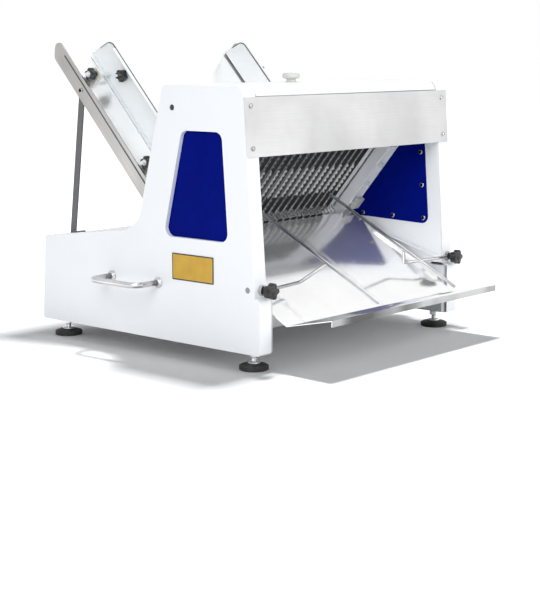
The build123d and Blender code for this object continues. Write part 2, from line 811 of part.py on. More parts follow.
def eccentric_bearings():
    """Ball bearings on the eccentrics, shown as closed rings."""
    rings = []
    for side in (-1, 1):
        centre = frame_point(CRANK_F, CRANK_E + side * STROKE / 2, side * YOKE_X)
        rings.append(ring(*centre, BEARING_R, ECCENTRIC_R, BEARING_W))
    return group(rings)


def v_pulley(centre, radius, bore, width):
    """A grooved pulley along X."""
    groove_x = BELT_W / 2 + 0.6
    root = radius - BELT_H
    profile = Polygon(
        (bore, -width / 2),
        (radius, -width / 2),
        (radius, -groove_x - 1),
        (root, -groove_x),
        (root, groove_x),
        (radius, groove_x + 1),
        (radius, width / 2),
        (bore, width / 2),
        align=None,
    )
    solid = revolve(Plane.XZ * profile, Axis.Z, 360)
    return Pos(*centre) * Rot(0, 90, 0) * solid


def pulley_centres():
    y, z = crank_centre()[1:]
    x = PULLEY_X + PULLEY_W / 2
    return (x, y, z), (x, MOTOR_Y, MOTOR_Z)


def crank_pulley():
    return v_pulley(pulley_centres()[0], CRANK_PULLEY_R, SHAFT_R, PULLEY_W)


def motor_pulley():
    """Small pulley with the motor shaft it is keyed to."""
    centre = pulley_centres()[1]
    end_x = PULLEY_X + PULLEY_W + 4
    shaft = bar((motor_end_x() + 1, MOTOR_Y, MOTOR_Z), (end_x, MOTOR_Y, MOTOR_Z), MOTOR_SHAFT_R)
    return v_pulley(centre, MOTOR_PULLEY_R, MOTOR_SHAFT_R - 1, PULLEY_W) + shaft


def motor_end_x():
    """X of the motor's end cap on the pulley's side."""
    return PULLEY_X - MOTOR_NOSE - 4


def belt_loop(grow):
    """Outline round both pulley grooves, moved outwards by grow."""
    a, b = pulley_centres()
    ra = CRANK_PULLEY_R - BELT_H + BELT_GAP + grow
    rb = MOTOR_PULLEY_R - BELT_H + BELT_GAP + grow
    rounds = (Pos(a[1], a[2]) * Circle(ra)).edges() + (Pos(b[1], b[2]) * Circle(rb)).edges()
    return make_hull(rounds)


def drive_belt():
    x = PULLEY_X + PULLEY_W / 2
    outer = in_yz(belt_loop(BELT_H), x - BELT_W / 2, x + BELT_W / 2)
    inner = in_yz(belt_loop(0), x - BELT_W / 2 - 1, x + BELT_W / 2 + 1)
    return outer - inner


def motor():
    """Motor on its feet, with its shaft, end caps and terminal box."""
    x1 = motor_end_x()
    x0 = x1 - MOTOR_L
    body = bar((x0 + MOTOR_CAP_L, MOTOR_Y, MOTOR_Z), (x1 - MOTOR_CAP_L, MOTOR_Y, MOTOR_Z), MOTOR_R)
    caps = bar((x0, MOTOR_Y, MOTOR_Z), (x1, MOTOR_Y, MOTOR_Z), MOTOR_CAP_R)
    nose = bar((x1, MOTOR_Y, MOTOR_Z), (x1 + MOTOR_NOSE, MOTOR_Y, MOTOR_Z), MOTOR_NOSE_R)
    bore = bar((x1, MOTOR_Y, MOTOR_Z), (x1 + MOTOR_NOSE + 1, MOTOR_Y, MOTOR_Z), MOTOR_SHAFT_R + RUN_FIT)
    low = FOOT_CLEARANCE + PANEL_SKIN + TUBE
    top = low + MOTOR_FOOT_T
    feet_x = (x0 + MOTOR_FOOT_INSET, x1 - MOTOR_FOOT_INSET)
    feet_y = (CROSS_Y[1] + TUBE / 2 + 2, CROSS_Y[2] + TUBE - 2)
    feet = block(feet_x, feet_y, (low, top))
    web_x = (x0 + MOTOR_WEB_INSET, x1 - MOTOR_WEB_INSET)
    web = block(web_x, (MOTOR_Y - MOTOR_WEB_HALF, MOTOR_Y + MOTOR_WEB_HALF), (top, MOTOR_Z))
    box_x = [x0 + d for d in MOTOR_BOX_FROM_END]
    box_y = [MOTOR_Y + d for d in MOTOR_BOX_Y]
    box_z = [MOTOR_Z + d for d in MOTOR_BOX_Z]
    return body + caps + nose + feet + web + block(box_x, box_y, box_z) - bore


def base_cover_z(y):
    """Height of the base cover's top at y."""
    rear_y = PANEL_REAR_Y - REAR_EDGE_LEAN
    share = (y - BASE_TOP_FRONT_Y) / (rear_y - BASE_TOP_FRONT_Y)
    line = BASE_TOP_FRONT_Z + (BASE_TOP_REAR_Z - BASE_TOP_FRONT_Z) * share
    return line - BASE_COVER_DROP


def base_cover():
    """White cover over the drive, between the inner walls."""
    y0 = BASE_COVER_FRONT_Y
    y1 = PANEL_REAR_Y - REAR_EDGE_LEAN - 4
    points = [
        (y0, base_cover_z(y0)),
        (y1, base_cover_z(y1)),
        (y1, base_cover_z(y1) - 14),
        (y1 - SHEET_T, base_cover_z(y1) - 14),
        (y1 - SHEET_T, base_cover_z(y1) - SHEET_T),
        (y0 + SHEET_T, base_cover_z(y0) - SHEET_T),
        (y0 + SHEET_T, base_cover_z(y0) - 12),
        (y0, base_cover_z(y0) - 12),
    ]
    return in_yz(Polygon(*points, align=None), -CAVITY_X, CAVITY_X)


def rear_panel():
    """White sheet that closes the base's rear, with air slots."""
    y1 = PANEL_REAR_Y - REAR_EDGE_LEAN - 4 - SHEET_T
    top = base_cover_z(y1) - 14
    low = FOOT_CLEARANCE + PANEL_SKIN
    inner_x = HALF - PANEL_SKIN - 0.5 - SIDE_RAIL_W
    sheet = block((-inner_x, inner_x), (y1 - SHEET_T, y1), (low, top))
    sheet = sheet + block((-CAVITY_X, CAVITY_X), (y1 - SHEET_T, y1), (low + SIDE_RAIL_H + 1, top))
    for i in range(SLOT_COUNT):
        z = SLOT_LOW_Z + i * SLOT_PITCH
        for x in SLOT_X:
            span = (x - SLOT_LENGTH / 2, x + SLOT_LENGTH / 2)
            sheet = sheet - block(span, (y1 - 5, y1 + 5), (z, z + SLOT_WIDTH))
    hole = bar((GLAND_X, y1 - 5, GLAND_Z), (GLAND_X, y1 + 5, GLAND_Z), GLAND_BORE_R * 2)
    return sheet - hole


def cable_gland():
    """Gland for the mains lead, through the rear panel."""
    y1 = PANEL_REAR_Y - REAR_EDGE_LEAN - 4 - SHEET_T
    r = GLAND_BORE_R * 2
    body = bar((GLAND_X, y1 - SHEET_T - 10, GLAND_Z), (GLAND_X, y1, GLAND_Z), r)
    flange = bar((GLAND_X, y1, GLAND_Z), (GLAND_X, y1 + 5, GLAND_Z), r + 4)
    cap = bar((GLAND_X, y1 + 5, GLAND_Z), (GLAND_X, y1 + 16, GLAND_Z), r + 1)
    bore = bar((GLAND_X, y1 - 30, GLAND_Z), (GLAND_X, y1 + 30, GLAND_Z), GLAND_BORE_R)
    return body + flange + cap - bore


def foot_places():
    return [(side * FOOT_X, y) for side in (-1, 1) for y in (FOOT_FRONT_Y, FOOT_REAR_Y)]


def foot_pads():
    """Rubber foot pads."""
    pads = []
    for x, y in foot_places():
        low = Cylinder(FOOT_PAD_R, FOOT_PAD_H * 0.65, align=(Align.CENTER, Align.CENTER, Align.MIN))
        high = Cone(
            FOOT_PAD_R - 1, FOOT_PAD_R * 0.72, FOOT_PAD_H * 0.35,
            align=(Align.CENTER, Align.CENTER, Align.MIN),
        )
        pads.append(Pos(x, y, 0) * (low + Pos(0, 0, FOOT_PAD_H * 0.65) * high))
    return group(pads)


def foot_studs():
    """Threaded foot studs, each with a collar and a lock nut."""
    studs = []
    top = FOOT_CLEARANCE - FOOT_PAD_H
    for x, y in foot_places():
        collar = Cylinder(FOOT_STUD_R * 1.8, 5, align=(Align.CENTER, Align.CENTER, Align.MIN))
        stem = Cylinder(FOOT_STUD_R, top, align=(Align.CENTER, Align.CENTER, Align.MIN))
        nut = extrude(RegularPolygon(FOOT_STUD_R * 1.75, 6), FOOT_NUT_H)
        studs.append(Pos(x, y, FOOT_PAD_H) * (collar + stem + Pos(0, 0, top - FOOT_NUT_H) * nut))
    return group(studs)


# Infeed chute

def chute_floor():
    """Stainless chute floor, whose lower end is a comb between the blades."""
    x = CHUTE_RAIL_X - CHUTE_RAIL_T - CHUTE_FLOOR_GAP
    floor = block((-x, x), (-CHUTE_LENGTH, 0), (-CHUTE_FLOOR_T, 0), CHUTE)
    field = BLADE_PITCH * (BLADE_COUNT - 1) / 2
    comb_x = field + BLADE_PITCH / 2
    top_f, top_e = frame_coords(chute_point(0, 0))
    end_d = (top_e - SLIDE_TOP_E - 6) / cos(radians(CHUTE_SLOPE + FRAME_SLOPE - 90))
    fingers = block((-comb_x, comb_x), (-end_d, -CHUTE_LENGTH), (-CHUTE_FLOOR_T, 0), CHUTE)
    floor = floor + fingers
    slots = []
    for i in range(BLADE_COUNT):
        sx = -field + i * BLADE_PITCH
        span = (sx - COMB_SLOT / 2, sx + COMB_SLOT / 2)
        slots.append(block(span, (-end_d - 1, -COMB_START), (-CHUTE_FLOOR_T - 1, 1), CHUTE))
    return floor - slots


def chute_rails():
    """Stainless side rails under the floor's edges, with wall spacers."""
    rails = []
    for side in (-1, 1):
        low = -CHUTE_RAIL_DEPTH
        high = CHUTE_RAIL_PROUD
        points = [
            (-CHUTE_LENGTH - 4, low),
            (CHUTE_RAIL_TIP - 18, low),
            (CHUTE_RAIL_TIP, low + 22),
            (CHUTE_RAIL_TIP - 4, high),
            (-CHUTE_LENGTH - 4, high),
        ]
        face = outline(points, [0, 16, 12, 14, 0])
        yz = Plane(origin=CHUTE.origin, x_dir=CHUTE.y_dir, z_dir=(1, 0, 0))
        plate = Pos(-CHUTE_RAIL_X, 0, 0) * extrude(yz * face, CHUTE_RAIL_T, dir=(1, 0, 0))
        spacer = block(
            (-CAVITY_X, -CHUTE_RAIL_X), (-CHUTE_LENGTH - 4, -CHUTE_LENGTH + 20), (low + 3, -6), CHUTE
        )
        shelf = block(
            (-CHUTE_RAIL_X + CHUTE_RAIL_T, -CHUTE_RAIL_X + 20),
            (-CHUTE_LENGTH, -6),
            (-CHUTE_FLOOR_T - 2, -CHUTE_FLOOR_T),
            CHUTE,
        )
        rails.append(sided(plate + spacer + shelf, side))
    return group(rails)


def chute_struts():
    """Flat bars that prop the chute's rails on the base cover."""
    x1 = CHUTE_RAIL_X - CHUTE_RAIL_T
    x0 = x1 - STRUT_T
    top = chute_point(STRUT_TOP_D, -STRUT_TOP_N)
    foot_z = base_cover_z(STRUT_FOOT_Y)
    start = Vector(0, top[1], top[2])
    along = (Vector(0, STRUT_FOOT_Y, foot_z) - start)
    lean = degrees(atan2(along.Y, -along.Z))
    length = along.length
    face = Pos(0, -length / 2) * Rectangle(STRUT_W, length) + Circle(STRUT_W / 2)
    face = Pos(top[1], top[2]) * Rot(0, 0, lean) * face
    strut = in_yz(face, -x1, -x0)
    strut = strut - block((-x1 - 1, -x0 + 1), (STRUT_FOOT_Y - 40, STRUT_FOOT_Y + 40), (0, foot_z + 3))
    y0 = STRUT_FOOT_Y - STRUT_W / 2
    run = 30.0
    rise0 = base_cover_z(y0)
    rise1 = base_cover_z(y0 + STRUT_W)
    y1 = y0 + STRUT_W
    foot_face = Polygon((y0, rise0), (y1, rise1), (y1, rise1 + 4), (y0, rise0 + 4), align=None)
    foot = in_yz(foot_face, -x1, -x1 + run)
    strut = strut + foot
    return group([strut, mirrored(strut)])


def lug_face_x():
    """X of the left lugs' outer face, which the lock knobs are tightened against."""
    return -(CHUTE_RAIL_X - CHUTE_RAIL_T - CHUTE_FLOOR_GAP - 1) + CHUTE_KNOB_R * KNOB_LENGTH


def guide_lugs():
    """Nylon lugs on the chute's floor that the guides' posts slide in."""
    lugs = []
    x1 = lug_face_x()
    for side in (-1, 1):
        for d in POST_D:
            lug = block((x1, x1 + LUG_T), (-d - LUG_W / 2, -d + LUG_W / 2), (0, LUG_H), CHUTE)
            lug = fillet(lug.edges().filter_by(Axis.X).sort_by_distance(chute_point(d, 3 * LUG_H))[:2], 7)
            hole = bar(chute_point(d, POST_N, -HALF), chute_point(d, POST_N, 0), POST_R + RUN_FIT)
            lugs.append(sided(lug - hole, side))
    return group(lugs)


def loaf_guide():
    """Left loaf guide: a folded plate with two posts and two grip studs."""
    low = GUIDE_FOOT_GAP
    high = low + GUIDE_HEIGHT
    points = [
        (-CHUTE_LENGTH, low),
        (0, low),
        (-20, high),
        (-CHUTE_LENGTH, high),
    ]
    face = outline(points, [0, 0, GUIDE_CORNER_R, 6])
    yz = Plane(origin=CHUTE.origin, x_dir=CHUTE.y_dir, z_dir=(1, 0, 0))
    plate = Pos(-GUIDE_X - GUIDE_T, 0, 0) * extrude(yz * face, GUIDE_T, dir=(1, 0, 0))
    lip = block(
        (-GUIDE_X - GUIDE_T - GUIDE_LIP, -GUIDE_X),
        (-CHUTE_LENGTH + 8, -20 - GUIDE_CORNER_R * 1.1),
        (high - GUIDE_T, high),
        CHUTE,
    )
    foot = block(
        (-GUIDE_X - GUIDE_T - GUIDE_LIP, -GUIDE_X),
        (-CHUTE_LENGTH + 8, -8),
        (low, low + GUIDE_T),
        CHUTE,
    )
    guide = plate + lip + foot
    for d in POST_D:
        start = chute_point(d, POST_N, -CHUTE_RAIL_X)
        guide = guide + bar(start, chute_point(d, POST_N, -GUIDE_X - GUIDE_T), POST_R)
    for d in GRIP_D:
        start = chute_point(d, GRIP_N, -GUIDE_X - GUIDE_T - GRIP_STUD_L)
        guide = guide + bar(start, chute_point(d, GRIP_N, -GUIDE_X - GUIDE_T), GRIP_STUD_R)
    return guide


def knob_on_x(centre, radius, bore, side, outwards=False):
    """A star knob along X, with its hub's end at a point."""
    turn = Rot(0, -90 if outwards else 90, 0)
    return sided(Pos(*centre) * turn * star_knob(radius, bore), side)


def lock_knob(index, side):
    """Knob that locks a guide's post, with its lobes outwards and its hub at the lug."""
    centre = chute_point(POST_D[index], POST_N, lug_face_x())
    return knob_on_x(centre, CHUTE_KNOB_R, POST_R + RUN_FIT, side, outwards=True)


def grip_knob(index, side):
    """Knob on a guide's stud, with its lobes towards the guide."""
    length = CHUTE_KNOB_R * KNOB_LENGTH
    x = -GUIDE_X - GUIDE_T - 2 - length
    centre = chute_point(GRIP_D[index], GRIP_N, x)
    return knob_on_x(centre, CHUTE_KNOB_R, GRIP_STUD_R + RUN_FIT, side)


# Blade frames

def blade_places(which):
    """X of the blades in one frame: every second place, rear frame first."""
    field = BLADE_PITCH * (BLADE_COUNT - 1) / 2
    return [-field + i * BLADE_PITCH for i in range(1 - which, BLADE_COUNT, 2)]


def blade_centre(which):
    """E of one frame's blades, flush with the side that faces the other frame."""
    inset = FRAME_BAR_DEPTH / 2 - BLADE_W / 2
    return FRONT_FRAME_E + inset if which == 0 else REAR_FRAME_E - inset


def frame_box(x, f, e):
    """A box in the blade frames' directions."""
    return block(x, f, (-e[1], -e[0]), FRAMES)


def blade_frame(which):
    """A cast frame: two ribbed side bars, two cross bars and the crank yoke."""
    e = FRONT_FRAME_E if which == 0 else REAR_FRAME_E
    near = e - FRAME_BAR_DEPTH / 2
    far = e + FRAME_BAR_DEPTH / 2
    x0 = FRAME_BAR_X
    x1 = FRAME_BAR_X + FRAME_BAR_W
    body = frame_box((-x1, -x0), (FRAME_LOW_F, FRAME_HIGH_F), (near, far))
    body = body + frame_box((x0, x1), (FRAME_LOW_F, FRAME_HIGH_F), (near, far))
    cross = (near + 4, far) if which == 0 else (near, far - 4)
    for f in (FRAME_LOW_F, FRAME_HIGH_F - FRAME_CROSS_H):
        body = body + frame_box((-x1, x1), (f, f + FRAME_CROSS_H), cross)
    pockets = []
    run0 = FRAME_LOW_F + FRAME_CROSS_H + RIB_T
    run1 = FRAME_HIGH_F - FRAME_CROSS_H - RIB_T
    count = round((run1 - run0) / RIB_PITCH)
    step = (run1 - run0) / count
    for side in (-1, 1):
        xs = (x0 + POCKET_WALL, x1 - POCKET_WALL)
        span = xs if side > 0 else (-xs[1], -xs[0])
        for i in range(count):
            f0 = run0 + i * step
            pocket = (f0 + RIB_T / 2, f0 + step - RIB_T / 2)
            pockets.append(frame_box(span, pocket, (near - 1, near + POCKET_DEPTH)))
    body = body - pockets
    return body + yoke(which)


def yoke(which):
    """Plate under a frame whose slot holds one eccentric's bearing."""
    e = FRONT_FRAME_E if which == 0 else REAR_FRAME_E
    side = -1 if which == 0 else 1
    x = (side * YOKE_X - YOKE_T / 2, side * YOKE_X + YOKE_T / 2)
    half_f = BEARING_R + YOKE_CLEAR_F
    half_e = BEARING_R + STROKE / 2 + YOKE_CLEAR_E
    outer_f = half_f + YOKE_WALL
    outer_e = half_e + YOKE_WALL
    plate = frame_box(x, (CRANK_F - outer_f, CRANK_F + outer_f), (CRANK_E - outer_e, CRANK_E + outer_e))
    neck = frame_box(x, (CRANK_F + outer_f - 1, FRAME_LOW_F + 6), (e - NECK_HALF, e + NECK_HALF))
    slot = frame_box(x, (CRANK_F - half_f, CRANK_F + half_f), (CRANK_E - half_e, CRANK_E + half_e))
    wide = (x[0] - 16, x[1] + 16)
    tie = frame_box(wide, (FRAME_LOW_F - 6, FRAME_LOW_F + 4), (e - NECK_HALF, e + NECK_HALF))
    return plate + neck + tie - slot


def blade_face(length):
    """Outline of one blade along +y, its scalloped edge towards +x."""
    half = BLADE_W / 2
    count = int(length // BLADE_TOOTH_PITCH)
    start = (length - count * BLADE_TOOTH_PITCH) / 2
    face = Pos(0, length / 2) * Rectangle(BLADE_W, length)
    scallop_r = (BLADE_TOOTH_PITCH ** 2 / 4 + BLADE_TOOTH ** 2) / (2 * BLADE_TOOTH)
    cuts = []
    for i in range(count):
        y = start + (i + 0.5) * BLADE_TOOTH_PITCH
        cuts.append(Pos(half + scallop_r - BLADE_TOOTH, y) * Circle(scallop_r))
    return face - cuts


def blades(which):
    """One frame's blades, held between its cross bars, teeth to the loaf."""
    low = FRAME_LOW_F + FRAME_CROSS_H
    high = FRAME_HIGH_F - FRAME_CROSS_H
    plane = Plane(origin=frame_point(low, blade_centre(which)), x_dir=FRAMES.z_dir * -1, z_dir=(1, 0, 0))
    first = extrude(plane * blade_face(high - low), BLADE_T / 2, both=True)
    return group([Pos(x, 0, 0) * first for x in blade_places(which)])


def frame_blocks():
    """Nylon blocks on the inner walls, each with a groove for both frames."""
    near = FRONT_FRAME_E - FRAME_BAR_DEPTH / 2
    far = REAR_FRAME_E + FRAME_BAR_DEPTH / 2
    blocks = []
    for f in (GUIDE_BLOCK_LOW_F, GUIDE_BLOCK_HIGH_F):
        x0 = FRAME_BAR_X + GUIDE_BLOCK_LAP
        span = (near - GUIDE_BLOCK_WALL, far + GUIDE_BLOCK_WALL)
        piece = frame_box((x0, CAVITY_X - INNER_COVER_T), (f, f + GUIDE_BLOCK_L), span)
        for e in (FRONT_FRAME_E, REAR_FRAME_E):
            half = FRAME_BAR_DEPTH / 2 + GUIDE_BLOCK_CLEAR
            groove_x = (x0 - 1, FRAME_BAR_X + FRAME_BAR_W + GUIDE_BLOCK_CLEAR)
            piece = piece - frame_box(groove_x, (f - 1, f + GUIDE_BLOCK_L + 1), (e - half, e + half))
        blocks.append(piece)
        blocks.append(mirrored(piece))
    return group(blocks)


# Outfeed

def slide_top():
    """Y and Z of the slide's upper end, in line with the chute's floor."""
    top_f, top_e = frame_coords(chute_point(0, 0))
    d = (top_e - SLIDE_TOP_E) / cos(radians(CHUTE_SLOPE + FRAME_SLOPE - 90))
    point = chute_point(d, -CHUTE_FLOOR_T)
    return point[1], point[2]


def outfeed_slide():
    """One folded stainless sheet: slide, rising tray lip and hem."""
    y0, z0 = slide_top()
    y1, z1 = TRAY_FOLD_Y, TRAY_FOLD_Z
    y2, z2 = TRAY_FOLD_Y - TRAY_LIP_REACH, TRAY_FOLD_Z + TRAY_LIP_RISE
    t = SLIDE_T
    points = [
        (y0, z0),
        (y1, z1),
        (y2, z2),
        (y2, z2 - TRAY_HEM),
        (y2 + t, z2 - TRAY_HEM),
        (y2 + t, z2 - t * 1.3),
        (y1, z1 - t * 1.02),
        (y0, z0 - t * 1.15),
    ]
    sheet = in_yz(Polygon(*points, align=None), -SLIDE_HALF_W, SLIDE_HALF_W)
    rise = (z0 - z1) / (y0 - y1)
    side_y0 = -48.0
    side_y1 = PANEL_FRONT_Y + 14
    side_points = [
        (side_y0, z1 + (side_y0 - y1) * rise - t),
        (side_y1, z1 + (side_y1 - y1) * rise - t),
        (side_y1, z1 + (side_y1 - y1) * rise + SLIDE_SIDE_H),
        (side_y0, z1 + (side_y0 - y1) * rise + SLIDE_SIDE_H),
    ]
    wall = in_yz(Polygon(*side_points, align=None), -SLIDE_HALF_W, -SLIDE_HALF_W + t)
    return sheet + wall + mirrored(wall)


def clamp_seat_y():
    """Y of the panels' front face where the wire guides are clamped."""
    return front_y(CLAMP_Z)


def wire_guide():
    """Left wire guide: an eye on the clamp stud, an arm and the long wire."""
    eye_y = clamp_seat_y() - WIRE_R - CLAMP_GAP
    slope = tan(radians(WIRE_SLOPE))
    join_y = eye_y - 8
    join_z = WIRE_REAR_Z - (WIRE_REAR_Y - join_y) * slope - 1.2 * WIRE_R
    arm = bent_bar(
        [
            (-CLAMP_X + 9, eye_y, CLAMP_Z),
            (-CLAMP_X + 44, eye_y, CLAMP_Z),
            (-ARM_BEND_X, ARM_BEND_Y, CLAMP_Z - 3),
            (-WIRE_X, join_y, join_z),
        ],
        WIRE_R,
        16,
    )
    front_z = WIRE_REAR_Z - (WIRE_REAR_Y - WIRE_FRONT_Y) * slope
    wire = bar((-WIRE_X, WIRE_REAR_Y, WIRE_REAR_Z), (-WIRE_X, WIRE_FRONT_Y, front_z), WIRE_R)
    eye = Cylinder(CLAMP_STUD_R + 7, 2 * WIRE_R) - Cylinder(CLAMP_STUD_R + RUN_FIT, 4 * WIRE_R)
    eye = Pos(-CLAMP_X, eye_y, CLAMP_Z) * Rot(90, 0, 0) * eye
    hole = bar((-CLAMP_X, eye_y - 20, CLAMP_Z), (-CLAMP_X, eye_y + 20, CLAMP_Z), CLAMP_STUD_R + RUN_FIT)
    return arm + wire + eye - hole


def clamp_studs():
    """Studs in the panels' front faces for the wire guides' knobs."""
    studs = []
    for side in (-1, 1):
        y0 = clamp_seat_y() - CLAMP_STUD_L
        y1 = clamp_seat_y() + PANEL_SKIN + 4
        studs.append(bar((side * CLAMP_X, y0, CLAMP_Z), (side * CLAMP_X, y1, CLAMP_Z), CLAMP_STUD_R))
    return group(studs)


def clamp_knob(side):
    """Front star knob that clamps a wire guide's eye."""
    y = clamp_seat_y() - 2 * WIRE_R - CLAMP_GAP - 0.4
    seat = Plane(origin=(-CLAMP_X, y, CLAMP_Z), x_dir=(1, 0, 0), z_dir=(0, -1, 0))
    knob = seat * star_knob(FRONT_KNOB_R, CLAMP_STUD_R + RUN_FIT)
    cap = seat * Pos(0, 0, FRONT_KNOB_R * KNOB_LENGTH - 1) * Cylinder(
        FRONT_KNOB_R * 0.5, 3, align=(Align.CENTER, Align.CENTER, Align.MIN)
    )
    return sided(knob + cap, side)


def crumb_drawer():
    """Crumb drawer under the blades, which pulls out to the front."""
    x = DRAWER_HALF_W
    y = (DRAWER_FRONT_Y, DRAWER_REAR_Y)
    z = (DRAWER_BOTTOM_Z, DRAWER_BOTTOM_Z + DRAWER_H)
    t = SHEET_T
    pan = block((-x, x), y, z)
    pan = pan - block((-x + t, x - t), (y[0] + t, y[1] - t), (z[0] + t, z[1] + 1))
    pull = block((-60, 60), (y[0] - 14, y[0]), (z[1] - 6, z[1] - 6 + t))
    return pan + pull


# Switch

def button_places():
    return [(SWITCH_Y, SWITCH_Z + s * BUTTON_PITCH / 2) for s in (1, -1)]


def switch_box():
    """Switch box on the right side panel."""
    face = Pos(SWITCH_Y, SWITCH_Z) * RectangleRounded(SWITCH_W, SWITCH_H, 6)
    box = in_yz(face, HALF, HALF + SWITCH_D)
    for y, z in button_places():
        box = box - bar((HALF + 6, y, z), (HALF + SWITCH_D + 5, y, z), BUTTON_R + 0.5)
    return box


def push_button(index):
    y, z = button_places()[index]
    x1 = HALF + SWITCH_D + BUTTON_PROUD
    x0 = HALF + 6 + BUTTON_TRAVEL + 1
    cap = bar((x0, y, z), (x1, y, z), BUTTON_R)
    return fillet(cap.edges().sort_by(Axis.X)[-1], 2)


def all_parts():
    """Every node of the machine, by name."""
    parts = {}
    for name, side in (("left", -1), ("right", 1)):
        parts[name + "_side_panel"] = sided(side_panel(), side)
        parts[name + "_window_plate"] = sided(window_plate(), side)
        parts[name + "_inner_wall"] = sided(inner_wall(), side)
        parts[name + "_loaf_guide"] = sided(loaf_guide(), side)
        parts[name + "_wire_guide"] = sided(wire_guide(), side)
        parts[name + "_clamp_knob"] = clamp_knob(side)
        for index, place in enumerate(("upper", "lower")):
            parts[name + "_" + place + "_lock_knob"] = lock_knob(index, side)
            parts[name + "_" + place + "_grip_knob"] = grip_knob(index, side)
    parts["inner_covers"] = group([inner_cover(), mirrored(inner_cover())])
    parts["panel_screws"] = panel_screws()
    parts["front_cover"] = front_cover()
    parts["top_cover"] = top_cover()
    parts["cover_hinges"] = cover_hinges()
    parts["cover_hinge_knuckles"] = cover_hinge_knuckles()
    parts["cover_knob"] = cover_knob()
    parts["rear_blade_cover"] = rear_blade_cover()
    parts["name_plate"] = name_plate()
    parts["panel_plugs"] = panel_plugs()
    parts["carry_handles"] = group([carry_handle(), mirrored(carry_handle())])
    parts["base_frame"] = base_frame()
    parts["base_cover"] = base_cover()
    parts["rear_panel"] = rear_panel()
    parts["cable_gland"] = cable_gland()
    parts["foot_pads"] = foot_pads()
    parts["foot_studs"] = foot_studs()
    parts["chute_floor"] = chute_floor()
    parts["chute_rails"] = chute_rails()
    parts["chute_struts"] = chute_struts()
    parts["guide_lugs"] = guide_lugs()
    parts["front_blade_frame"] = blade_frame(0)
    parts["rear_blade_frame"] = blade_frame(1)
    parts["front_blades"] = blades(0)
    parts["rear_blades"] = blades(1)
    parts["frame_blocks"] = frame_blocks()
    parts["crankshaft"] = crankshaft()
    parts["eccentric_bearings"] = eccentric_bearings()
    parts["bearing_blocks"] = bearing_blocks()
    parts["crank_supports"] = crank_supports()
    parts["crank_pulley"] = crank_pulley()
    parts["motor_pulley"] = motor_pulley()
    parts["drive_belt"] = drive_belt()
    parts["motor"] = motor()
    parts["outfeed_slide"] = outfeed_slide()
    parts["clamp_studs"] = clamp_studs()
    parts["crumb_drawer"] = crumb_drawer()
    parts["switch_box"] = switch_box()
    parts["start_button"] = push_button(0)
    parts["stop_button"] = push_button(1)
    return parts


def main():
    os.makedirs("parts", exist_ok=True)
    for name, shape in all_parts().items():
        export_step(shape, os.path.join("parts", name + ".step"))


if __name__ == "__main__":
    main()
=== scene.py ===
import bmesh
import bpy
import json
from math import cos, pi, radians, sin, tan
from mathutils import Matrix, Vector


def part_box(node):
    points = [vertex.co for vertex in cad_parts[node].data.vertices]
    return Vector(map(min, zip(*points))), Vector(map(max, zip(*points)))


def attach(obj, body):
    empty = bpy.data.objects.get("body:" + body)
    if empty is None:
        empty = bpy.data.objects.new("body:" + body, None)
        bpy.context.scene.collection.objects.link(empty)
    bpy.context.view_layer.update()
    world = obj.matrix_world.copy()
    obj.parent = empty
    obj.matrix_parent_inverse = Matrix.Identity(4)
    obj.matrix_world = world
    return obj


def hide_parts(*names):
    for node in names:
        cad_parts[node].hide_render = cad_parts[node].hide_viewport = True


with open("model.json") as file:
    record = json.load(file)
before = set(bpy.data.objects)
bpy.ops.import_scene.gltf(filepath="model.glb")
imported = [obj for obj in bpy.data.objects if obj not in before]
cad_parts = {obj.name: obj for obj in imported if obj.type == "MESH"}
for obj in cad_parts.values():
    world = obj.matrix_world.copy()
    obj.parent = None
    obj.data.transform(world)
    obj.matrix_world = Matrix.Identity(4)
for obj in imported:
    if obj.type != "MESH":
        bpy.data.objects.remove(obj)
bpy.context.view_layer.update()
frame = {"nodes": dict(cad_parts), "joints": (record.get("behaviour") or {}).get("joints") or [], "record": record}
NODES = frame["nodes"]
BODY_OF = {n: b for b, ns in frame["record"]["behaviour"]["bodies"].items() for n in ns}
SLOT_OF = {s["node"]: s["material_slot"] for s in frame["record"]["subparts"]}
JOINTS = {j["name"]: j for j in frame["joints"]}
scene = bpy.context.scene
scene.view_settings.view_transform = "Standard"


# Sizes in metres, and slopes in degrees. f runs up the blade frames.
FRAME_SLOPE = 50.0
CHUTE_SLOPE = 47.0
FRONT_LEAN = 4.26

BLADE_T = 0.0008
BLADE_PITCH = 0.012
TOOTH_PITCH = 0.012
TOOTH_DEPTH = 0.0014
TOOTH_STEPS = 8
GROUND_LOW_F = 0.234
GROUND_HIGH_F = {"front_blades": 0.318, "rear_blades": 0.440}
BEVEL_TIP = 0.0016
BEVEL_ROOT = 0.0075

HEM_R = 0.0016
HEM_END = 0.004
GUIDE_CORNER = 0.020
GUIDE_SLANT = 0.020
GUIDE_FOOT_END = 0.006
RAIL_T = 0.003
RAIL_BARE = 0.045

CHUTE_KNOB_R = 0.014
CLAMP_KNOB_R = 0.017
KNOB_BORES = {"lock": 0.0041, "grip": 0.0031, "clamp": 0.0041}
KNOB_LOBES = 5
KNOB_EDGE = 0.0003
KNOB_EDGE_ANGLE = 30

FOOT_R = 0.030
STUD_R = 0.006
STUD_TOP = 0.0218
THREAD_TURNS = 12
NUT_R = 0.0105

HANDLE_BAR_R = 0.006
HANDLE_HALF = 0.070
HANDLE_BEND = 0.022
PANEL_FACE_X = 0.340
INNER_WALL_X = 0.295

PLUG_R = 0.006
PLUG_SINK = 0.0002
SCREW_T = 0.0026
PLATE_BORDER = 0.0026
TUBE_SIDES = 24
BEND_STEPS = 10

FLOOR_HALF = 12.0
FLOOR_TONE = 0.90
LIFT_NEAR = 0.7
LIFT_FAR = 1.3
LIFT_LEAST = 0.06
AMBIENT = 0.38


# Camera

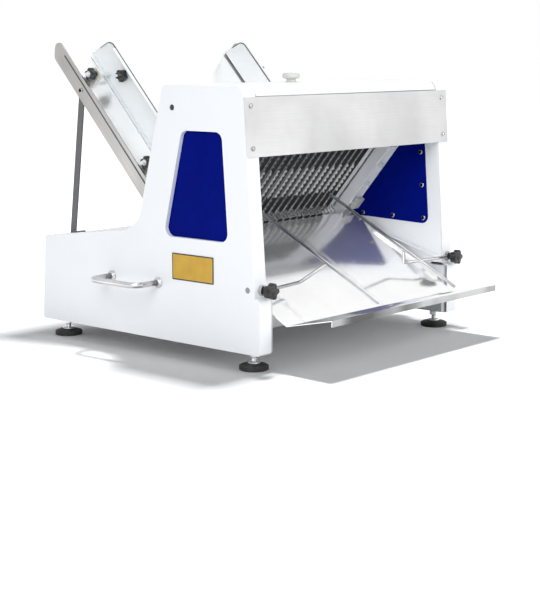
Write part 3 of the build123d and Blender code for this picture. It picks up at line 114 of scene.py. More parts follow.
def make_camera():
    """The photograph's camera, as fitted to its edges and corners."""
    data = bpy.data.cameras.new("camera")
    data.sensor_fit = "AUTO"
    data.sensor_width = 36.0
    data.lens = 87.4
    data.clip_end = 50
    cam = bpy.data.objects.new("camera", data)
    scene.collection.objects.link(cam)
    cam.location = (-2.431, -2.114, 0.633)
    cam.rotation_euler = (radians(90 - 9.82), 0, radians(-48.78))
    scene.camera = cam


# Material building blocks

class Shader:
    """A node material under construction, with object coordinates at hand."""

    def __init__(self, name):
        self.mat = bpy.data.materials.new(name)
        self.mat.use_nodes = True
        self.nodes = self.mat.node_tree.nodes
        self.links = self.mat.node_tree.links
        self.bsdf = self.nodes["Principled BSDF"]
        self.coord = self.nodes.new("ShaderNodeTexCoord").outputs["Object"]
        self.bump_in = None

    def put(self, socket, value):
        """Sets one constant of the surface."""
        self.bsdf.inputs[socket].default_value = value

    def link(self, a, b):
        self.links.new(a, b)

    def mapped(self, scale, turn=(0, 0, 0)):
        """Object coordinates, turned and then stretched."""
        spin = self.nodes.new("ShaderNodeVectorRotate")
        spin.rotation_type = "EULER_XYZ"
        spin.inputs["Rotation"].default_value = turn
        self.link(self.coord, spin.inputs["Vector"])
        node = self.nodes.new("ShaderNodeMapping")
        node.inputs["Scale"].default_value = scale
        self.link(spin.outputs[0], node.inputs["Vector"])
        return node.outputs[0]

    def noise(self, scale, detail=2.0, rough=0.5, at=None):
        """Cloudy values, about 0.5 in the mean."""
        node = self.nodes.new("ShaderNodeTexNoise")
        node.inputs["Scale"].default_value = scale
        node.inputs["Detail"].default_value = detail
        node.inputs["Roughness"].default_value = rough
        self.link(self.coord if at is None else at, node.inputs["Vector"])
        return node.outputs["Fac"]

    def spots(self, scale):
        """Small round cells, as in a moulded grain."""
        node = self.nodes.new("ShaderNodeTexVoronoi")
        node.inputs["Scale"].default_value = scale
        self.link(self.coord, node.inputs["Vector"])
        return node.outputs["Distance"]

    def remap(self, value, low, high, to_low, to_high):
        """Stretches one span of values over another, and stops at its ends."""
        node = self.nodes.new("ShaderNodeMapRange")
        ends = {"From Min": low, "From Max": high, "To Min": to_low, "To Max": to_high}
        for name, number in ends.items():
            node.inputs[name].default_value = number
        self.link(value, node.inputs["Value"])
        return node.outputs["Result"]

    def mix(self, fac, a, b):
        """A colour between a and b, each a triple or a socket."""
        node = self.nodes.new("ShaderNodeMix")
        node.data_type = "RGBA"
        self.link(fac, node.inputs["Factor"])
        for socket, colour in (("A", a), ("B", b)):
            target = [s for s in node.inputs if s.name == socket and s.type == "RGBA"][0]
            if isinstance(colour, bpy.types.NodeSocket):
                self.link(colour, target)
            else:
                target.default_value = (*colour, 1)
        return [s for s in node.outputs if s.type == "RGBA"][0]

    def bump(self, height, strength, distance):
        """Adds one more layer of relief to the ones before."""
        node = self.nodes.new("ShaderNodeBump")
        node.inputs["Strength"].default_value = strength
        node.inputs["Distance"].default_value = distance
        self.link(height, node.inputs["Height"])
        if self.bump_in is not None:
            self.link(self.bump_in, node.inputs["Normal"])
        self.bump_in = node.outputs[0]
        self.link(self.bump_in, self.bsdf.inputs["Normal"])

    def colour(self, socket):
        self.link(socket, self.bsdf.inputs["Base Color"])

    def rough(self, socket):
        self.link(socket, self.bsdf.inputs["Roughness"])


def powder_coat(name, colour, shade, gloss=0.36, coat=0.15, shine=0.5):
    """Sprayed paint: orange peel and a faint unevenness of its tone."""
    s = Shader(name)
    cloud = s.noise(7, 4, 0.6)
    base = s.mix(s.remap(cloud, 0.35, 0.75, 0, 1), colour, shade)
    s.colour(base)
    s.rough(s.remap(s.noise(30, 3), 0.3, 0.7, gloss - 0.05, gloss + 0.07))
    s.bump(s.noise(420, 2, 0.5), 0.10, 0.0004)
    s.bump(s.noise(1500, 1, 0.5), 0.05, 0.0001)
    s.put("Coat Weight", coat)
    s.put("Coat Roughness", 0.18)
    s.put("Specular IOR Level", shine)
    return s.mat


def brushed_steel(name, colour, shade, along, gloss=0.28, grain=1.0, turn=(0, 0, 0)):
    """Steel with a drawn grain along one axis."""
    s = Shader(name)
    stretch = [900.0, 900.0, 900.0]
    stretch[along] = 9.0
    lines = s.noise(1.0, 3, 0.65, s.mapped(stretch, turn))
    wide = s.noise(5.0, 3, 0.55)
    fine = s.mix(s.remap(lines, 0.2, 0.8, 0, grain), colour, shade)
    s.colour(s.mix(s.remap(wide, 0.35, 0.7, 0, 0.8), fine, shade))
    s.rough(s.remap(lines, 0.25, 0.75, gloss - 0.06 * grain, gloss + 0.10 * grain))
    s.bump(lines, 0.10 * grain, 0.0002)
    s.bump(wide, 0.05, 0.004)
    s.put("Metallic", 1.0)
    return s.mat


def polished_steel(name, colour, shade, gloss=0.12):
    """Bright polished steel with fine wipe marks and faint smudges."""
    s = Shader(name)
    wipe = s.noise(1.0, 3, 0.6, s.mapped((260, 40, 260), (0.1, 0.2, 0.4)))
    smudge = s.noise(14, 4, 0.6)
    s.colour(s.mix(s.remap(smudge, 0.35, 0.7, 0, 1), colour, shade))
    s.rough(s.remap(smudge, 0.3, 0.75, gloss - 0.03, gloss + 0.08))
    s.bump(wipe, 0.03, 0.0002)
    s.put("Metallic", 1.0)
    return s.mat


def worn_sheet(name, colour, shade, metal, gloss):
    """Bright sheet with a soft haze of fine wipe marks over its polish."""
    s = Shader(name)
    wipe = s.noise(1.0, 3, 0.6, s.mapped((500, 30, 500), (radians(-CHUTE_SLOPE), 0, 0)))
    haze = s.noise(6, 4, 0.6)
    s.colour(s.mix(s.remap(haze, 0.35, 0.7, 0, 1), colour, shade))
    s.rough(s.remap(wipe, 0.3, 0.7, gloss - 0.04, gloss + 0.06))
    s.bump(wipe, 0.03, 0.0002)
    s.put("Metallic", metal)
    return s.mat


def tray_sheet(name):
    """The slide's polish, which dishes a little, and its folded hem, whose front faces are painted dark with
    patches of painted reflection.
    """
    s = Shader(name)
    normal = s.nodes.new("ShaderNodeNewGeometry").outputs["Normal"]
    place = s.nodes.new("ShaderNodeSeparateXYZ")
    s.link(s.coord, place.inputs[0])
    lean = s.nodes.new("ShaderNodeVectorMath")
    lean.operation = "SCALE"
    lean.inputs[0].default_value = (0, -0.5, 0)
    s.link(s.remap(place.outputs[1], -0.20, 0.0, 1, 0.25), lean.inputs["Scale"])
    dish = s.nodes.new("ShaderNodeVectorMath")
    dish.operation = "ADD"
    s.link(normal, dish.inputs[0])
    s.link(lean.outputs[0], dish.inputs[1])
    unit = s.nodes.new("ShaderNodeVectorMath")
    unit.operation = "NORMALIZE"
    s.link(dish.outputs[0], unit.inputs[0])
    s.bump_in = unit.outputs[0]
    split = s.nodes.new("ShaderNodeSeparateXYZ")
    s.link(normal, split.inputs[0])
    # Faces turned to the front are painted dark grey, with streaky patches as painted reflection of the floor's
    # shadow.
    hem = s.remap(split.outputs[1], -0.75, -0.9, 0, 1)
    wipe = s.noise(1.0, 3, 0.6, s.mapped((300, 30, 30)))
    reflection_patches = s.remap(s.noise(1.0, 2, 0.5, s.mapped((7, 2, 2))), 0.38, 0.62, 0, 1)
    haze = s.remap(s.noise(9, 4, 0.6), 0.35, 0.7, 0, 1)
    polish = s.mix(haze, (0.98, 0.98, 0.98), (0.93, 0.93, 0.94))
    hem_painted_reflection = s.mix(reflection_patches, (0.10, 0.10, 0.10), (0.42, 0.42, 0.42))
    s.colour(s.mix(hem, polish, hem_painted_reflection))
    s.rough(s.remap(wipe, 0.3, 0.7, 0.10, 0.20))
    s.bump(wipe, 0.02, 0.0002)
    s.put("Metallic", 0.84)
    return s.mat


def ground_blade(name, colour, shade, metal, gloss):
    """Blade steel with grinding marks across its width."""
    s = Shader(name)
    lines = s.noise(1.0, 2, 0.6, s.mapped((1400, 60, 1400), (radians(-FRAME_SLOPE), 0, 0)))
    s.colour(s.mix(s.remap(lines, 0.3, 0.7, 0, 1), colour, shade))
    s.rough(s.remap(lines, 0.3, 0.7, gloss, gloss + 0.12))
    s.bump(lines, 0.10, 0.0001)
    s.put("Metallic", metal)
    return s.mat


def moulded(name, colour, shade, gloss=0.42, grain=0.25):
    """Moulded plastic with a fine spark-eroded grain."""
    s = Shader(name)
    s.colour(s.mix(s.remap(s.noise(40, 3), 0.3, 0.7, 0, 1), colour, shade))
    s.rough(s.remap(s.noise(200, 2), 0.3, 0.7, gloss - 0.06, gloss + 0.08))
    s.bump(s.spots(1600), grain, 0.00015)
    return s.mat


def rubber(name):
    """Dull rubber with mould speckle and dust on its sides."""
    s = Shader(name)
    dust = s.remap(s.noise(60, 4, 0.65), 0.45, 0.8, 0, 1)
    s.colour(s.mix(dust, (0.012, 0.012, 0.013), (0.06, 0.058, 0.055)))
    s.rough(s.remap(s.noise(300, 2), 0.3, 0.7, 0.55, 0.8))
    s.bump(s.noise(900, 2), 0.3, 0.0002)
    return s.mat


def cast_iron(name, colour, shade):
    """Iron with the rough skin of its casting."""
    s = Shader(name)
    s.colour(s.mix(s.remap(s.noise(90, 4, 0.7), 0.35, 0.7, 0, 1), colour, shade))
    s.rough(s.remap(s.noise(250, 3), 0.3, 0.7, 0.45, 0.7))
    s.bump(s.noise(700, 4, 0.7), 0.35, 0.0004)
    s.put("Metallic", 0.6)
    return s.mat


def plate_face(name, low, high):
    """Bare yellow plate with a printed dark border, by its place on the panel."""
    s = Shader(name)
    split = s.nodes.new("ShaderNodeSeparateXYZ")
    s.link(s.coord, split.inputs[0])
    inside = None
    for axis in (1, 2):
        for value, sign in ((low[axis], 1), (high[axis], -1)):
            step = s.nodes.new("ShaderNodeMath")
            step.operation = "GREATER_THAN" if sign > 0 else "LESS_THAN"
            s.link(split.outputs[axis], step.inputs[0])
            step.inputs[1].default_value = value + sign * PLATE_BORDER
            if inside is None:
                inside = step.outputs[0]
            else:
                both = s.nodes.new("ShaderNodeMath")
                both.operation = "MULTIPLY"
                s.link(inside, both.inputs[0])
                s.link(step.outputs[0], both.inputs[1])
                inside = both.outputs[0]
    cloud = s.remap(s.noise(35, 3), 0.3, 0.7, 0, 1)
    field = s.mix(cloud, (0.62, 0.37, 0.025), (0.54, 0.31, 0.02))
    s.colour(s.mix(inside, (0.035, 0.03, 0.02), field))
    s.rough(s.remap(s.noise(150, 2), 0.3, 0.7, 0.28, 0.4))
    s.bump(inside, 0.4, 0.0002)
    s.bump(s.noise(800, 2), 0.05, 0.0001)
    return s.mat


def build_materials():
    """One material for each slot, and some for single pieces."""
    low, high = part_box("name_plate")
    down_chute = (radians(-CHUTE_SLOPE), 0, 0)
    return {
        "white_paint": powder_coat("white_powder", (0.90, 0.92, 0.945), (0.87, 0.895, 0.925)),
        "blue_paint": powder_coat(
            "blue_enamel", (0.0008, 0.007, 0.20), (0.0006, 0.004, 0.15), 0.3, 0.0, 0.02),
        "frame_paint": powder_coat("frame_paint", (0.62, 0.64, 0.66), (0.54, 0.56, 0.58), 0.4),
        "dark_paint": powder_coat("dark_paint", (0.11, 0.115, 0.12), (0.09, 0.09, 0.10), 0.45),
        "motor_paint": powder_coat("motor_paint", (0.10, 0.15, 0.20), (0.08, 0.12, 0.17), 0.4),
        "satin_steel": brushed_steel(
            "brushed_steel", (0.78, 0.78, 0.78), (0.50, 0.50, 0.50), 0, 0.3, 0.45),
        "machined_steel": brushed_steel(
            "machined_steel", (0.55, 0.56, 0.58), (0.45, 0.46, 0.48), 1, 0.3),
        "tray_steel": brushed_steel(
            "drawer_steel", (0.68, 0.69, 0.70), (0.58, 0.59, 0.60), 0, 0.34),
        "rail_steel": brushed_steel(
            "rail_steel", (0.56, 0.55, 0.54), (0.30, 0.295, 0.29), 1, 0.26, 0.6, down_chute),
        "polished_steel": polished_steel("polished_steel", (0.86, 0.87, 0.88), (0.78, 0.79, 0.80)),
        "wire_steel": polished_steel("wire_steel", (0.50, 0.50, 0.51), (0.36, 0.36, 0.37), 0.16),
        "handle_steel": polished_steel("handle_steel", (0.66, 0.66, 0.67), (0.50, 0.50, 0.51), 0.2),
        # Lit and shaded copies of one blade steel: the flats are painted dark as shade, the bevels near-white as
        # painted highlight.
        "blade_steel": ground_blade("blade_flat_painted_shade", (0.10, 0.10, 0.10), (0.05, 0.05, 0.05), 1.0, 0.24),
        "blade_painted_highlight": ground_blade("blade_bevel_painted_highlight", (1.0, 1.0, 1.0), (0.90, 0.90, 0.90), 0.15, 0.2),
        "slide_steel": tray_sheet("slide_steel"),
        "chute_steel": worn_sheet("chute_steel", (0.98, 0.98, 0.98), (0.95, 0.95, 0.95), 0.85, 0.22),
        "guide_steel": worn_sheet("guide_steel", (0.80, 0.83, 0.845), (0.74, 0.77, 0.79), 0.30, 0.42),
        "black_plastic": moulded("black_plastic", (0.012, 0.012, 0.013), (0.02, 0.02, 0.021), 0.34),
        "white_nylon": moulded("white_nylon", (0.64, 0.64, 0.62), (0.58, 0.58, 0.56), 0.45, 0.1),
        "grey_plastic": moulded("grey_plastic", (0.30, 0.31, 0.32), (0.27, 0.28, 0.29), 0.45),
        "green_plastic": moulded("green_plastic", (0.02, 0.28, 0.07), (0.015, 0.22, 0.05), 0.3, 0.1),
        "red_plastic": moulded("red_plastic", (0.55, 0.02, 0.02), (0.45, 0.015, 0.015), 0.3, 0.1),
        # Dark material of the lines on the loaf guides and chute rails: painted shade.
        "hem": moulded("hem_painted_shade", (0.07, 0.07, 0.072), (0.10, 0.10, 0.10), 0.35, 0.1),
        "plate_yellow": plate_face("plate_face", low, high),
        "foot_rubber": rubber("foot_rubber"),
        "belt_rubber": rubber("belt_rubber"),
        "iron": cast_iron("cast_iron", (0.10, 0.10, 0.105), (0.15, 0.14, 0.135)),
    }


# Mesh building blocks

def new_object(name, mesh_data):
    obj = bpy.data.objects.new(name, mesh_data)
    scene.collection.objects.link(obj)
    return obj


def from_bmesh(name, bm, smooth=True):
    """Makes an object of a bmesh and frees it."""
    bmesh.ops.recalc_face_normals(bm, faces=bm.faces)
    data = bpy.data.meshes.new(name)
    bm.to_mesh(data)
    bm.free()
    for face in data.polygons:
        face.use_smooth = smooth
    return new_object(name, data)


def add_lathe(bm, profile, steps=64, index=0):
    """Turns (radius, height) points about Z. Closes on the axis where r is 0."""
    rings = []
    for r, z in profile:
        if r < 1e-7:
            rings.append([bm.verts.new((0, 0, z))])
        else:
            angles = [2 * pi * i / steps for i in range(steps)]
            rings.append([bm.verts.new((r * cos(t), r * sin(t), z)) for t in angles])
    for a, b in zip(rings, rings[1:]):
        for i in range(steps):
            j = (i + 1) % steps
            if len(a) == 1 and len(b) == 1:
                continue
            if len(a) == 1:
                face = bm.faces.new((a[0], b[j], b[i]))
            elif len(b) == 1:
                face = bm.faces.new((a[i], a[j], b[0]))
            else:
                face = bm.faces.new((a[i], a[j], b[j], b[i]))
            face.material_index = index


def add_prism(bm, outline, z0, z1, chamfer, index=0):
    """A closed outline raised from z0 to z1, its edges broken by a chamfer."""
    centre = sum((Vector((x, y, 0)) for x, y in outline), Vector()) / len(outline)
    levels = [
        (z0, chamfer), (z0 + chamfer * 0.3, chamfer * 0.3), (z0 + chamfer, 0),
        (z1 - chamfer, 0), (z1 - chamfer * 0.3, chamfer * 0.3), (z1, chamfer),
    ]
    rings = []
    for z, inset in levels:
        ring = []
        for x, y in outline:
            d = Vector((x, y, 0)) - centre
            d = d * (1 - inset / d.length)
            ring.append(bm.verts.new((centre.x + d.x, centre.y + d.y, z)))
        rings.append(ring)
    count = len(outline)
    for a, b in zip(rings, rings[1:]):
        for i in range(count):
            j = (i + 1) % count
            bm.faces.new((a[i], a[j], b[j], b[i])).material_index = index
    bm.faces.new(list(reversed(rings[0]))).material_index = index
    bm.faces.new(rings[-1]).material_index = index


def add_hex(bm, radius, z0, z1):
    """A hexagon nut with chamfered corners."""
    outline = []
    for i in range(48):
        t = 2 * pi * i / 48
        flat = radius * cos(pi / 6) / cos((t % (pi / 3)) - pi / 6)
        r = min(flat, radius * 0.985)
        outline.append((r * cos(t), r * sin(t)))
    add_prism(bm, outline, z0, z1, 0.0007)


def merge(target, source, at=(0, 0, 0), matrix=None):
    """Copies one bmesh into another, moved to a point, and frees it."""
    place = matrix or Matrix.Translation(Vector(at))
    bmesh.ops.transform(source, matrix=place, verts=source.verts)
    data = bpy.data.meshes.new("part")
    source.to_mesh(data)
    target.from_mesh(data)
    source.free()
    bpy.data.meshes.remove(data)


def tube(points, radius, bend):
    """A round bar through corner points, its corners bent to one radius."""
    points = [Vector(p) for p in points]
    line = [points[0]]
    for a, b, c in zip(points, points[1:], points[2:]):
        if bend == 0:
            line.append(b)
            continue
        u = (a - b).normalized()
        v = (c - b).normalized()
        half = u.angle(v) / 2
        reach = bend / tan(half)
        centre = b + (u + v).normalized() * (bend / sin(half))
        start = b + u * reach - centre
        stop = b + v * reach - centre
        total = start.angle(stop)
        axis = start.cross(stop).normalized()
        for i in range(BEND_STEPS + 1):
            line.append(centre + Matrix.Rotation(total * i / BEND_STEPS, 3, axis) @ start)
    line.append(points[-1])
    bm = bmesh.new()
    rings = []
    direction = (line[1] - line[0]).normalized()
    side = direction.orthogonal().normalized()
    for i, p in enumerate(line):
        ahead = line[min(i + 1, len(line) - 1)] - line[max(i - 1, 0)]
        turn = direction.rotation_difference(ahead.normalized())
        side = turn @ side
        direction = ahead.normalized()
        other = direction.cross(side)
        ring = []
        for k in range(TUBE_SIDES):
            t = 2 * pi * k / TUBE_SIDES
            ring.append(bm.verts.new(p + radius * (cos(t) * side + sin(t) * other)))
        rings.append(ring)
    for a, b in zip(rings, rings[1:]):
        for k in range(TUBE_SIDES):
            j = (k + 1) % TUBE_SIDES
            bm.faces.new((a[k], a[j], b[j], b[k]))
    bm.faces.new(list(reversed(rings[0])))
    bm.faces.new(rings[-1])
    return bm


def aim(obj, at, direction):
    """Places obj at a point with its Z axis along a direction."""
    turn = Vector((0, 0, 1)).rotation_difference(Vector(direction).normalized())
    obj.matrix_world = Matrix.Translation(Vector(at)) @ turn.to_matrix().to_4x4()


def finish_piece(obj, body, materials, nodes=()):
    """Gives a new piece its materials, its body and its CAD nodes."""
    for material in materials:
        obj.data.materials.append(material)
    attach(obj, body)
    if nodes:
        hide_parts(*nodes)


def soften(obj, width, angle=38, segments=2):
    """Small rounded edges, as folded and moulded pieces have."""
    bevel = obj.modifiers.new("edges", "BEVEL")
    bevel.width = width
    bevel.segments = segments
    bevel.limit_method = "ANGLE"
    bevel.angle_limit = radians(angle)
    bevel.harden_normals = False
    bevel.use_clamp_overlap = True


# Pieces

def star_outline(radius, lobes):
    """A star knob's rounded lobes."""
    points = []
    for i in range(lobes * 24):
        t = 2 * pi * i / (lobes * 24)
        wave = 0.5 + 0.5 * cos(lobes * t)
        r = radius * (0.70 + 0.30 * wave ** 0.75)
        points.append((r * cos(t), r * sin(t)))
    return points


def star_knob(node, body, at, outward, radius, mats, bore, cap=False):
    """A moulded star knob on its hub, its face capped or with a steel insert."""
    bm = bmesh.new()
    hub = radius * 0.55
    top = radius * 1.48
    add_prism(bm, star_outline(radius, KNOB_LOBES), hub, top, radius * 0.13)
    seat = hub + radius * 0.02
    add_lathe(bm, [
        (bore, 0), (radius * 0.40, 0), (radius * 0.47, radius * 0.05),
        (radius * 0.50, hub * 0.9), (radius * 0.58, seat), (bore, seat), (bore, 0),
    ])
    face = top - 0.0002
    if cap:
        add_lathe(bm, [
            (0, face + radius * 0.20), (radius * 0.30, face + radius * 0.18),
            (radius * 0.44, face + radius * 0.10), (radius * 0.50, face),
            (radius * 0.50, face - 0.001), (0, face - 0.001),
        ])
    else:
        outer, inner = bore + 0.0022, bore + 0.0003
        low, high = face - 0.002, face + 0.0009
        add_lathe(bm, [(outer, low), (outer, high), (inner, high), (inner, low), (outer, low)], 40, 1)
        ring = radius * 0.56
        low, high = face - 0.001, face + 0.0007
        add_lathe(bm, [
            (ring, low), (ring, high), (ring - 0.0006, face + 0.0011),
            (ring - 0.0012, high), (ring - 0.0012, low), (ring, low),
        ], 48)
    obj = from_bmesh(node + "_star", bm)
    aim(obj, at, outward)
    soften(obj, KNOB_EDGE, KNOB_EDGE_ANGLE)
    both = [mats["black_plastic"], mats["polished_steel"]]
    finish_piece(obj, body, both, [node])


def chute_knobs(mats):
    """Eight star knobs on the loaf guides' posts and studs."""
    for name, side in (("left", -1), ("right", 1)):
        for place in ("upper", "lower"):
            for kind, outward in (("lock", side), ("grip", -side)):
                body = "%s_%s_%s" % (name, place, kind)
                node = body + "_knob"
                low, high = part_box(node)
                axis_point = JOINTS[body + "_turn"]["pos_m"]
                start = low.x if outward > 0 else high.x
                at = (start, axis_point[1], axis_point[2])
                star_knob(node, body, at, (outward, 0, 0), CHUTE_KNOB_R, mats, KNOB_BORES[kind])


def clamp_knobs(mats):
    """Two larger star knobs in front of the side panels."""
    for name in ("left", "right"):
        node = name + "_clamp_knob"
        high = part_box(node)[1]
        axis_point = JOINTS[name + "_clamp_turn"]["pos_m"]
        at = (axis_point[0], high.y, axis_point[2])
        bore = KNOB_BORES["clamp"]
        star_knob(node, name + "_clamp", at, (0, -1, 0), CLAMP_KNOB_R, mats, bore, cap=True)


def lid_knob(mats):
    """Turned lifting knob with a waist."""
    low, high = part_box("cover_knob")
    centre = (low + high) / 2
    r = (high.x - low.x) / 2
    h = high.z - low.z
    bm = bmesh.new()
    shares = [
        (0, 0), (0.62, 0), (0.62, 0.06), (0.52, 0.16), (0.50, 0.28), (0.62, 0.36), (0.90, 0.42), (0.99, 0.52),
        (1, 0.66), (0.99, 0.80), (0.93, 0.90), (0.82, 0.965), (0.66, 0.995), (0.4, 1), (0, 1),
    ]
    add_lathe(bm, [(r * a, h * b) for a, b in shares], 72)
    obj = from_bmesh("lid_knob", bm)
    aim(obj, (centre.x, centre.y, low.z), (0, 0, 1))
    finish_piece(obj, "lid", [mats["white_nylon"]], ["cover_knob"])


def foot_pad(r, h):
    """A rubber pad with three ribs round its flank."""
    part = bmesh.new()
    profile = [(0, 0), (r - 0.0015, 0), (r, 0.0015)]
    for i in range(3):
        z = 0.0022 + i * 0.0019
        profile += [(r, z), (r - 0.0008, z + 0.0006), (r - 0.0008, z + 0.0010), (r, z + 0.0015)]
    profile += [(r, 0.0083), (r - 0.0012, 0.0095), (r * 0.80, h * 0.88), (r * 0.62, h * 0.94)]
    profile += [(r * 0.50, h), (0, h)]
    add_lathe(part, profile, 72)
    return part


def foot_stud():
    """A threaded stud with its flange and a hexagon nut, from the pad's top up."""
    part = bmesh.new()
    add_lathe(part, [
        (0, 0), (0.0125, 0), (0.0132, 0.0008), (0.0132, 0.0030),
        (0.0105, 0.0048), (0.006, 0.0050), (0, 0.005),
    ], 40)
    thread = [(0, 0.004)]
    for i in range(THREAD_TURNS + 1):
        z = 0.005 + 0.008 * i / THREAD_TURNS
        thread += [(STUD_R, z), (STUD_R - 0.0007, z + 0.0003)]
    thread += [(STUD_R, STUD_TOP), (0, STUD_TOP)]
    add_lathe(part, thread, 32)
    add_hex(part, NUT_R, 0.0128, 0.0219)
    return part


def feet(mats):
    """Four rubber pads, and four threaded studs with nuts."""
    pads = bmesh.new()
    studs = bmesh.new()
    low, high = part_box("foot_pads")
    for sx in (low.x + FOOT_R, high.x - FOOT_R):
        for sy in (low.y + FOOT_R, high.y - FOOT_R):
            merge(pads, foot_pad(FOOT_R, high.z), (sx, sy, 0))
            merge(studs, foot_stud(), (sx, sy, high.z))
    obj = from_bmesh("ribbed_pads", pads)
    soften(obj, 0.0003, 50)
    finish_piece(obj, "casing", [mats["foot_rubber"]], ["foot_pads"])
    obj = from_bmesh("threaded_feet", studs, smooth=False)
    soften(obj, 0.0002, 50)
    finish_piece(obj, "casing", [mats["polished_steel"]], ["foot_studs"])


def carry_handles(mats):
    """Bent round bars with a turned collar and a weld bead at each end."""
    low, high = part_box("carry_handles")
    out = high.x - HANDLE_BAR_R
    y_mid = (low.y + high.y) / 2
    z = (low.z + high.z) / 2
    y_ends = (y_mid - HANDLE_HALF, y_mid + HANDLE_HALF)
    whole = bmesh.new()
    for side in (-1, 1):
        face, bar = side * PANEL_FACE_X, side * out
        points = [(face, y_ends[0], z), (bar, y_ends[0], z), (bar, y_ends[1], z), (face, y_ends[1], z)]
        merge(whole, tube(points, HANDLE_BAR_R, HANDLE_BEND))
        for y in y_ends:
            part = bmesh.new()
            add_lathe(part, [
                (0.0055, 0.0), (0.0112, 0.0), (0.0114, 0.0006), (0.0114, 0.0026), (0.0108, 0.0034),
                (0.0072, 0.0040), (0.0064, 0.0052), (0.0058, 0.0062), (0.0055, 0.0062),
            ], 40)
            turn = Matrix.Rotation(side * pi / 2, 4, "Y")
            merge(whole, part, matrix=Matrix.Translation((face, y, z)) @ turn)
    obj = from_bmesh("bent_handles", whole)
    finish_piece(obj, "casing", [mats["handle_steel"]], ["carry_handles"])


def slope_point(x, f, e):
    """A place f up the blade frames and e along the loaf's way back."""
    a = radians(FRAME_SLOPE)
    return Vector((x, e * sin(a) - f * cos(a), e * cos(a) + f * sin(a)))


def slope_span(node):
    """The smallest and largest f and e of a CAD node."""
    a = radians(FRAME_SLOPE)
    obj = NODES[node]
    points = [obj.matrix_world @ v.co for v in obj.data.vertices]
    fs = [p.z * sin(a) - p.y * cos(a) for p in points]
    es = [p.y * sin(a) + p.z * cos(a) for p in points]
    return min(fs), max(fs), min(es), max(es)


def blade_mesh(length, width, shift, ground):
    """One blade along Y, hollow-ground in scallops within the span that is ground."""
    bm = bmesh.new()
    half = BLADE_T / 2
    count = int(length / TOOTH_PITCH + 0.5) * TOOTH_STEPS
    rows = []
    for i in range(count + 1):
        y = length * i / count
        phase = (y / TOOTH_PITCH + shift) % 1.0
        hollow = 1 - (2 * phase - 1) ** 2
        edge = width - TOOTH_DEPTH * hollow
        deep = BEVEL_ROOT if ground[0] < y < ground[1] else BEVEL_TIP
        bevel = width - BEVEL_TIP - (deep - BEVEL_TIP) * hollow ** 0.6
        tip = half * 0.15
        section = [(-half, 0), (-half, bevel), (-tip, edge), (tip, edge), (half, bevel), (half, 0)]
        rows.append([bm.verts.new((x, y, e)) for x, e in section])
    for a, b in zip(rows, rows[1:]):
        for k in range(6):
            j = (k + 1) % 6
            face = bm.faces.new((a[k], b[k], b[j], a[j]))
            # Flat sides take slot 0, painted dark as shade; bevels, tip and back edge take slot 1, painted
            # near-white as highlight.
            face.material_index = 0 if k in (0, 4) else 1
    bm.faces.new(rows[0])
    bm.faces.new(list(reversed(rows[-1])))
    return bm


def blade_sets(mats):
    """Both sets of blades, each a row of ground blades in its frame."""
    for node, shift in (("front_blades", 0.0), ("rear_blades", 0.5)):
        f0, f1, e0, e1 = slope_span(node)
        low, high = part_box(node)
        count = round((high.x - low.x - BLADE_T) / (2 * BLADE_PITCH)) + 1
        along = slope_point(0, 1, 0)
        across = slope_point(0, 0, 1)
        turn = Matrix(((1, 0, 0), (0, along.y, across.y), (0, along.z, across.z))).to_4x4()
        ground = (GROUND_LOW_F - f0, GROUND_HIGH_F[node] - f0)
        whole = bmesh.new()
        for i in range(count):
            x = low.x + BLADE_T / 2 + 2 * BLADE_PITCH * i
            part = blade_mesh(f1 - f0, e1 - e0, shift + 0.23 * (i % 3), ground)
            merge(whole, part, matrix=Matrix.Translation(slope_point(x, f0, e0)) @ turn)
        obj = from_bmesh("ground_" + node, whole, smooth=False)
        both = [mats["blade_steel"], mats["blade_painted_highlight"]]
        finish_piece(obj, BODY_OF[node], both, [node])


def chute_span(node):
    """The smallest and largest way down the chute and height above it, of a CAD node."""
    a = radians(CHUTE_SLOPE)
    obj = NODES[node]
    points = [obj.matrix_world @ v.co for v in obj.data.vertices]
    downs = [-p.y * cos(a) - p.z * sin(a) for p in points]
    heights = [p.z * cos(a) - p.y * sin(a) for p in points]
    return min(downs), max(downs), min(heights), max(heights)


def chute_place(x, down, height):
    """A place down the chute and above it."""
    a = radians(CHUTE_SLOPE)
    return Vector((x, -down * cos(a) - height * sin(a), -down * sin(a) + height * cos(a)))


def guide_shade_lines(mats):
    """Dark tubes on the loaf guides' free edges, bent corners and feet: painted shade under their top edges and
    painted shadow where they meet the floor.
    """
    for name, side in (("left", -1), ("right", 1)):
        node = name + "_loaf_guide"
        d0, d1, n0, n1 = chute_span(node)
        low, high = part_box(node)
        inside = low.x if side > 0 else high.x
        x = inside + side * HEM_R / 2
        points = [
            chute_place(x, d0 + GUIDE_SLANT * 0.45 + HEM_R, n0 + (n1 - n0) * 0.45),
            chute_place(x, d0 + GUIDE_SLANT + HEM_R, n1 - HEM_R * 0.2),
            chute_place(x, d1 - HEM_END, n1 - HEM_R * 0.2),
        ]
        whole = tube(points, HEM_R, GUIDE_CORNER)
        ends = (d0 + GUIDE_FOOT_END, d1 - GUIDE_FOOT_END)
        merge(whole, tube([chute_place(inside, d, n0 + HEM_R) for d in ends], HEM_R, 0))
        obj = from_bmesh(name + "_guide_shade_line", whole)
        finish_piece(obj, BODY_OF[node], [mats["hem"]])


def rail_shade_lines(mats):
    """Dark strips on the inner upper edges of the chute's rails: painted shade of the gap beside each rail."""
    d0, d1, _, n1 = chute_span("chute_rails")
    low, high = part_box("chute_rails")
    whole = bmesh.new()
    for x in (low.x + RAIL_T, high.x - RAIL_T):
        ends = [chute_place(x, d, n1 - HEM_R) for d in (d0 + RAIL_BARE, d1 - HEM_END)]
        merge(whole, tube(ends, HEM_R, 0))
    obj = from_bmesh("rail_shade_lines", whole)
    finish_piece(obj, BODY_OF["chute_rails"], [mats["hem"]])


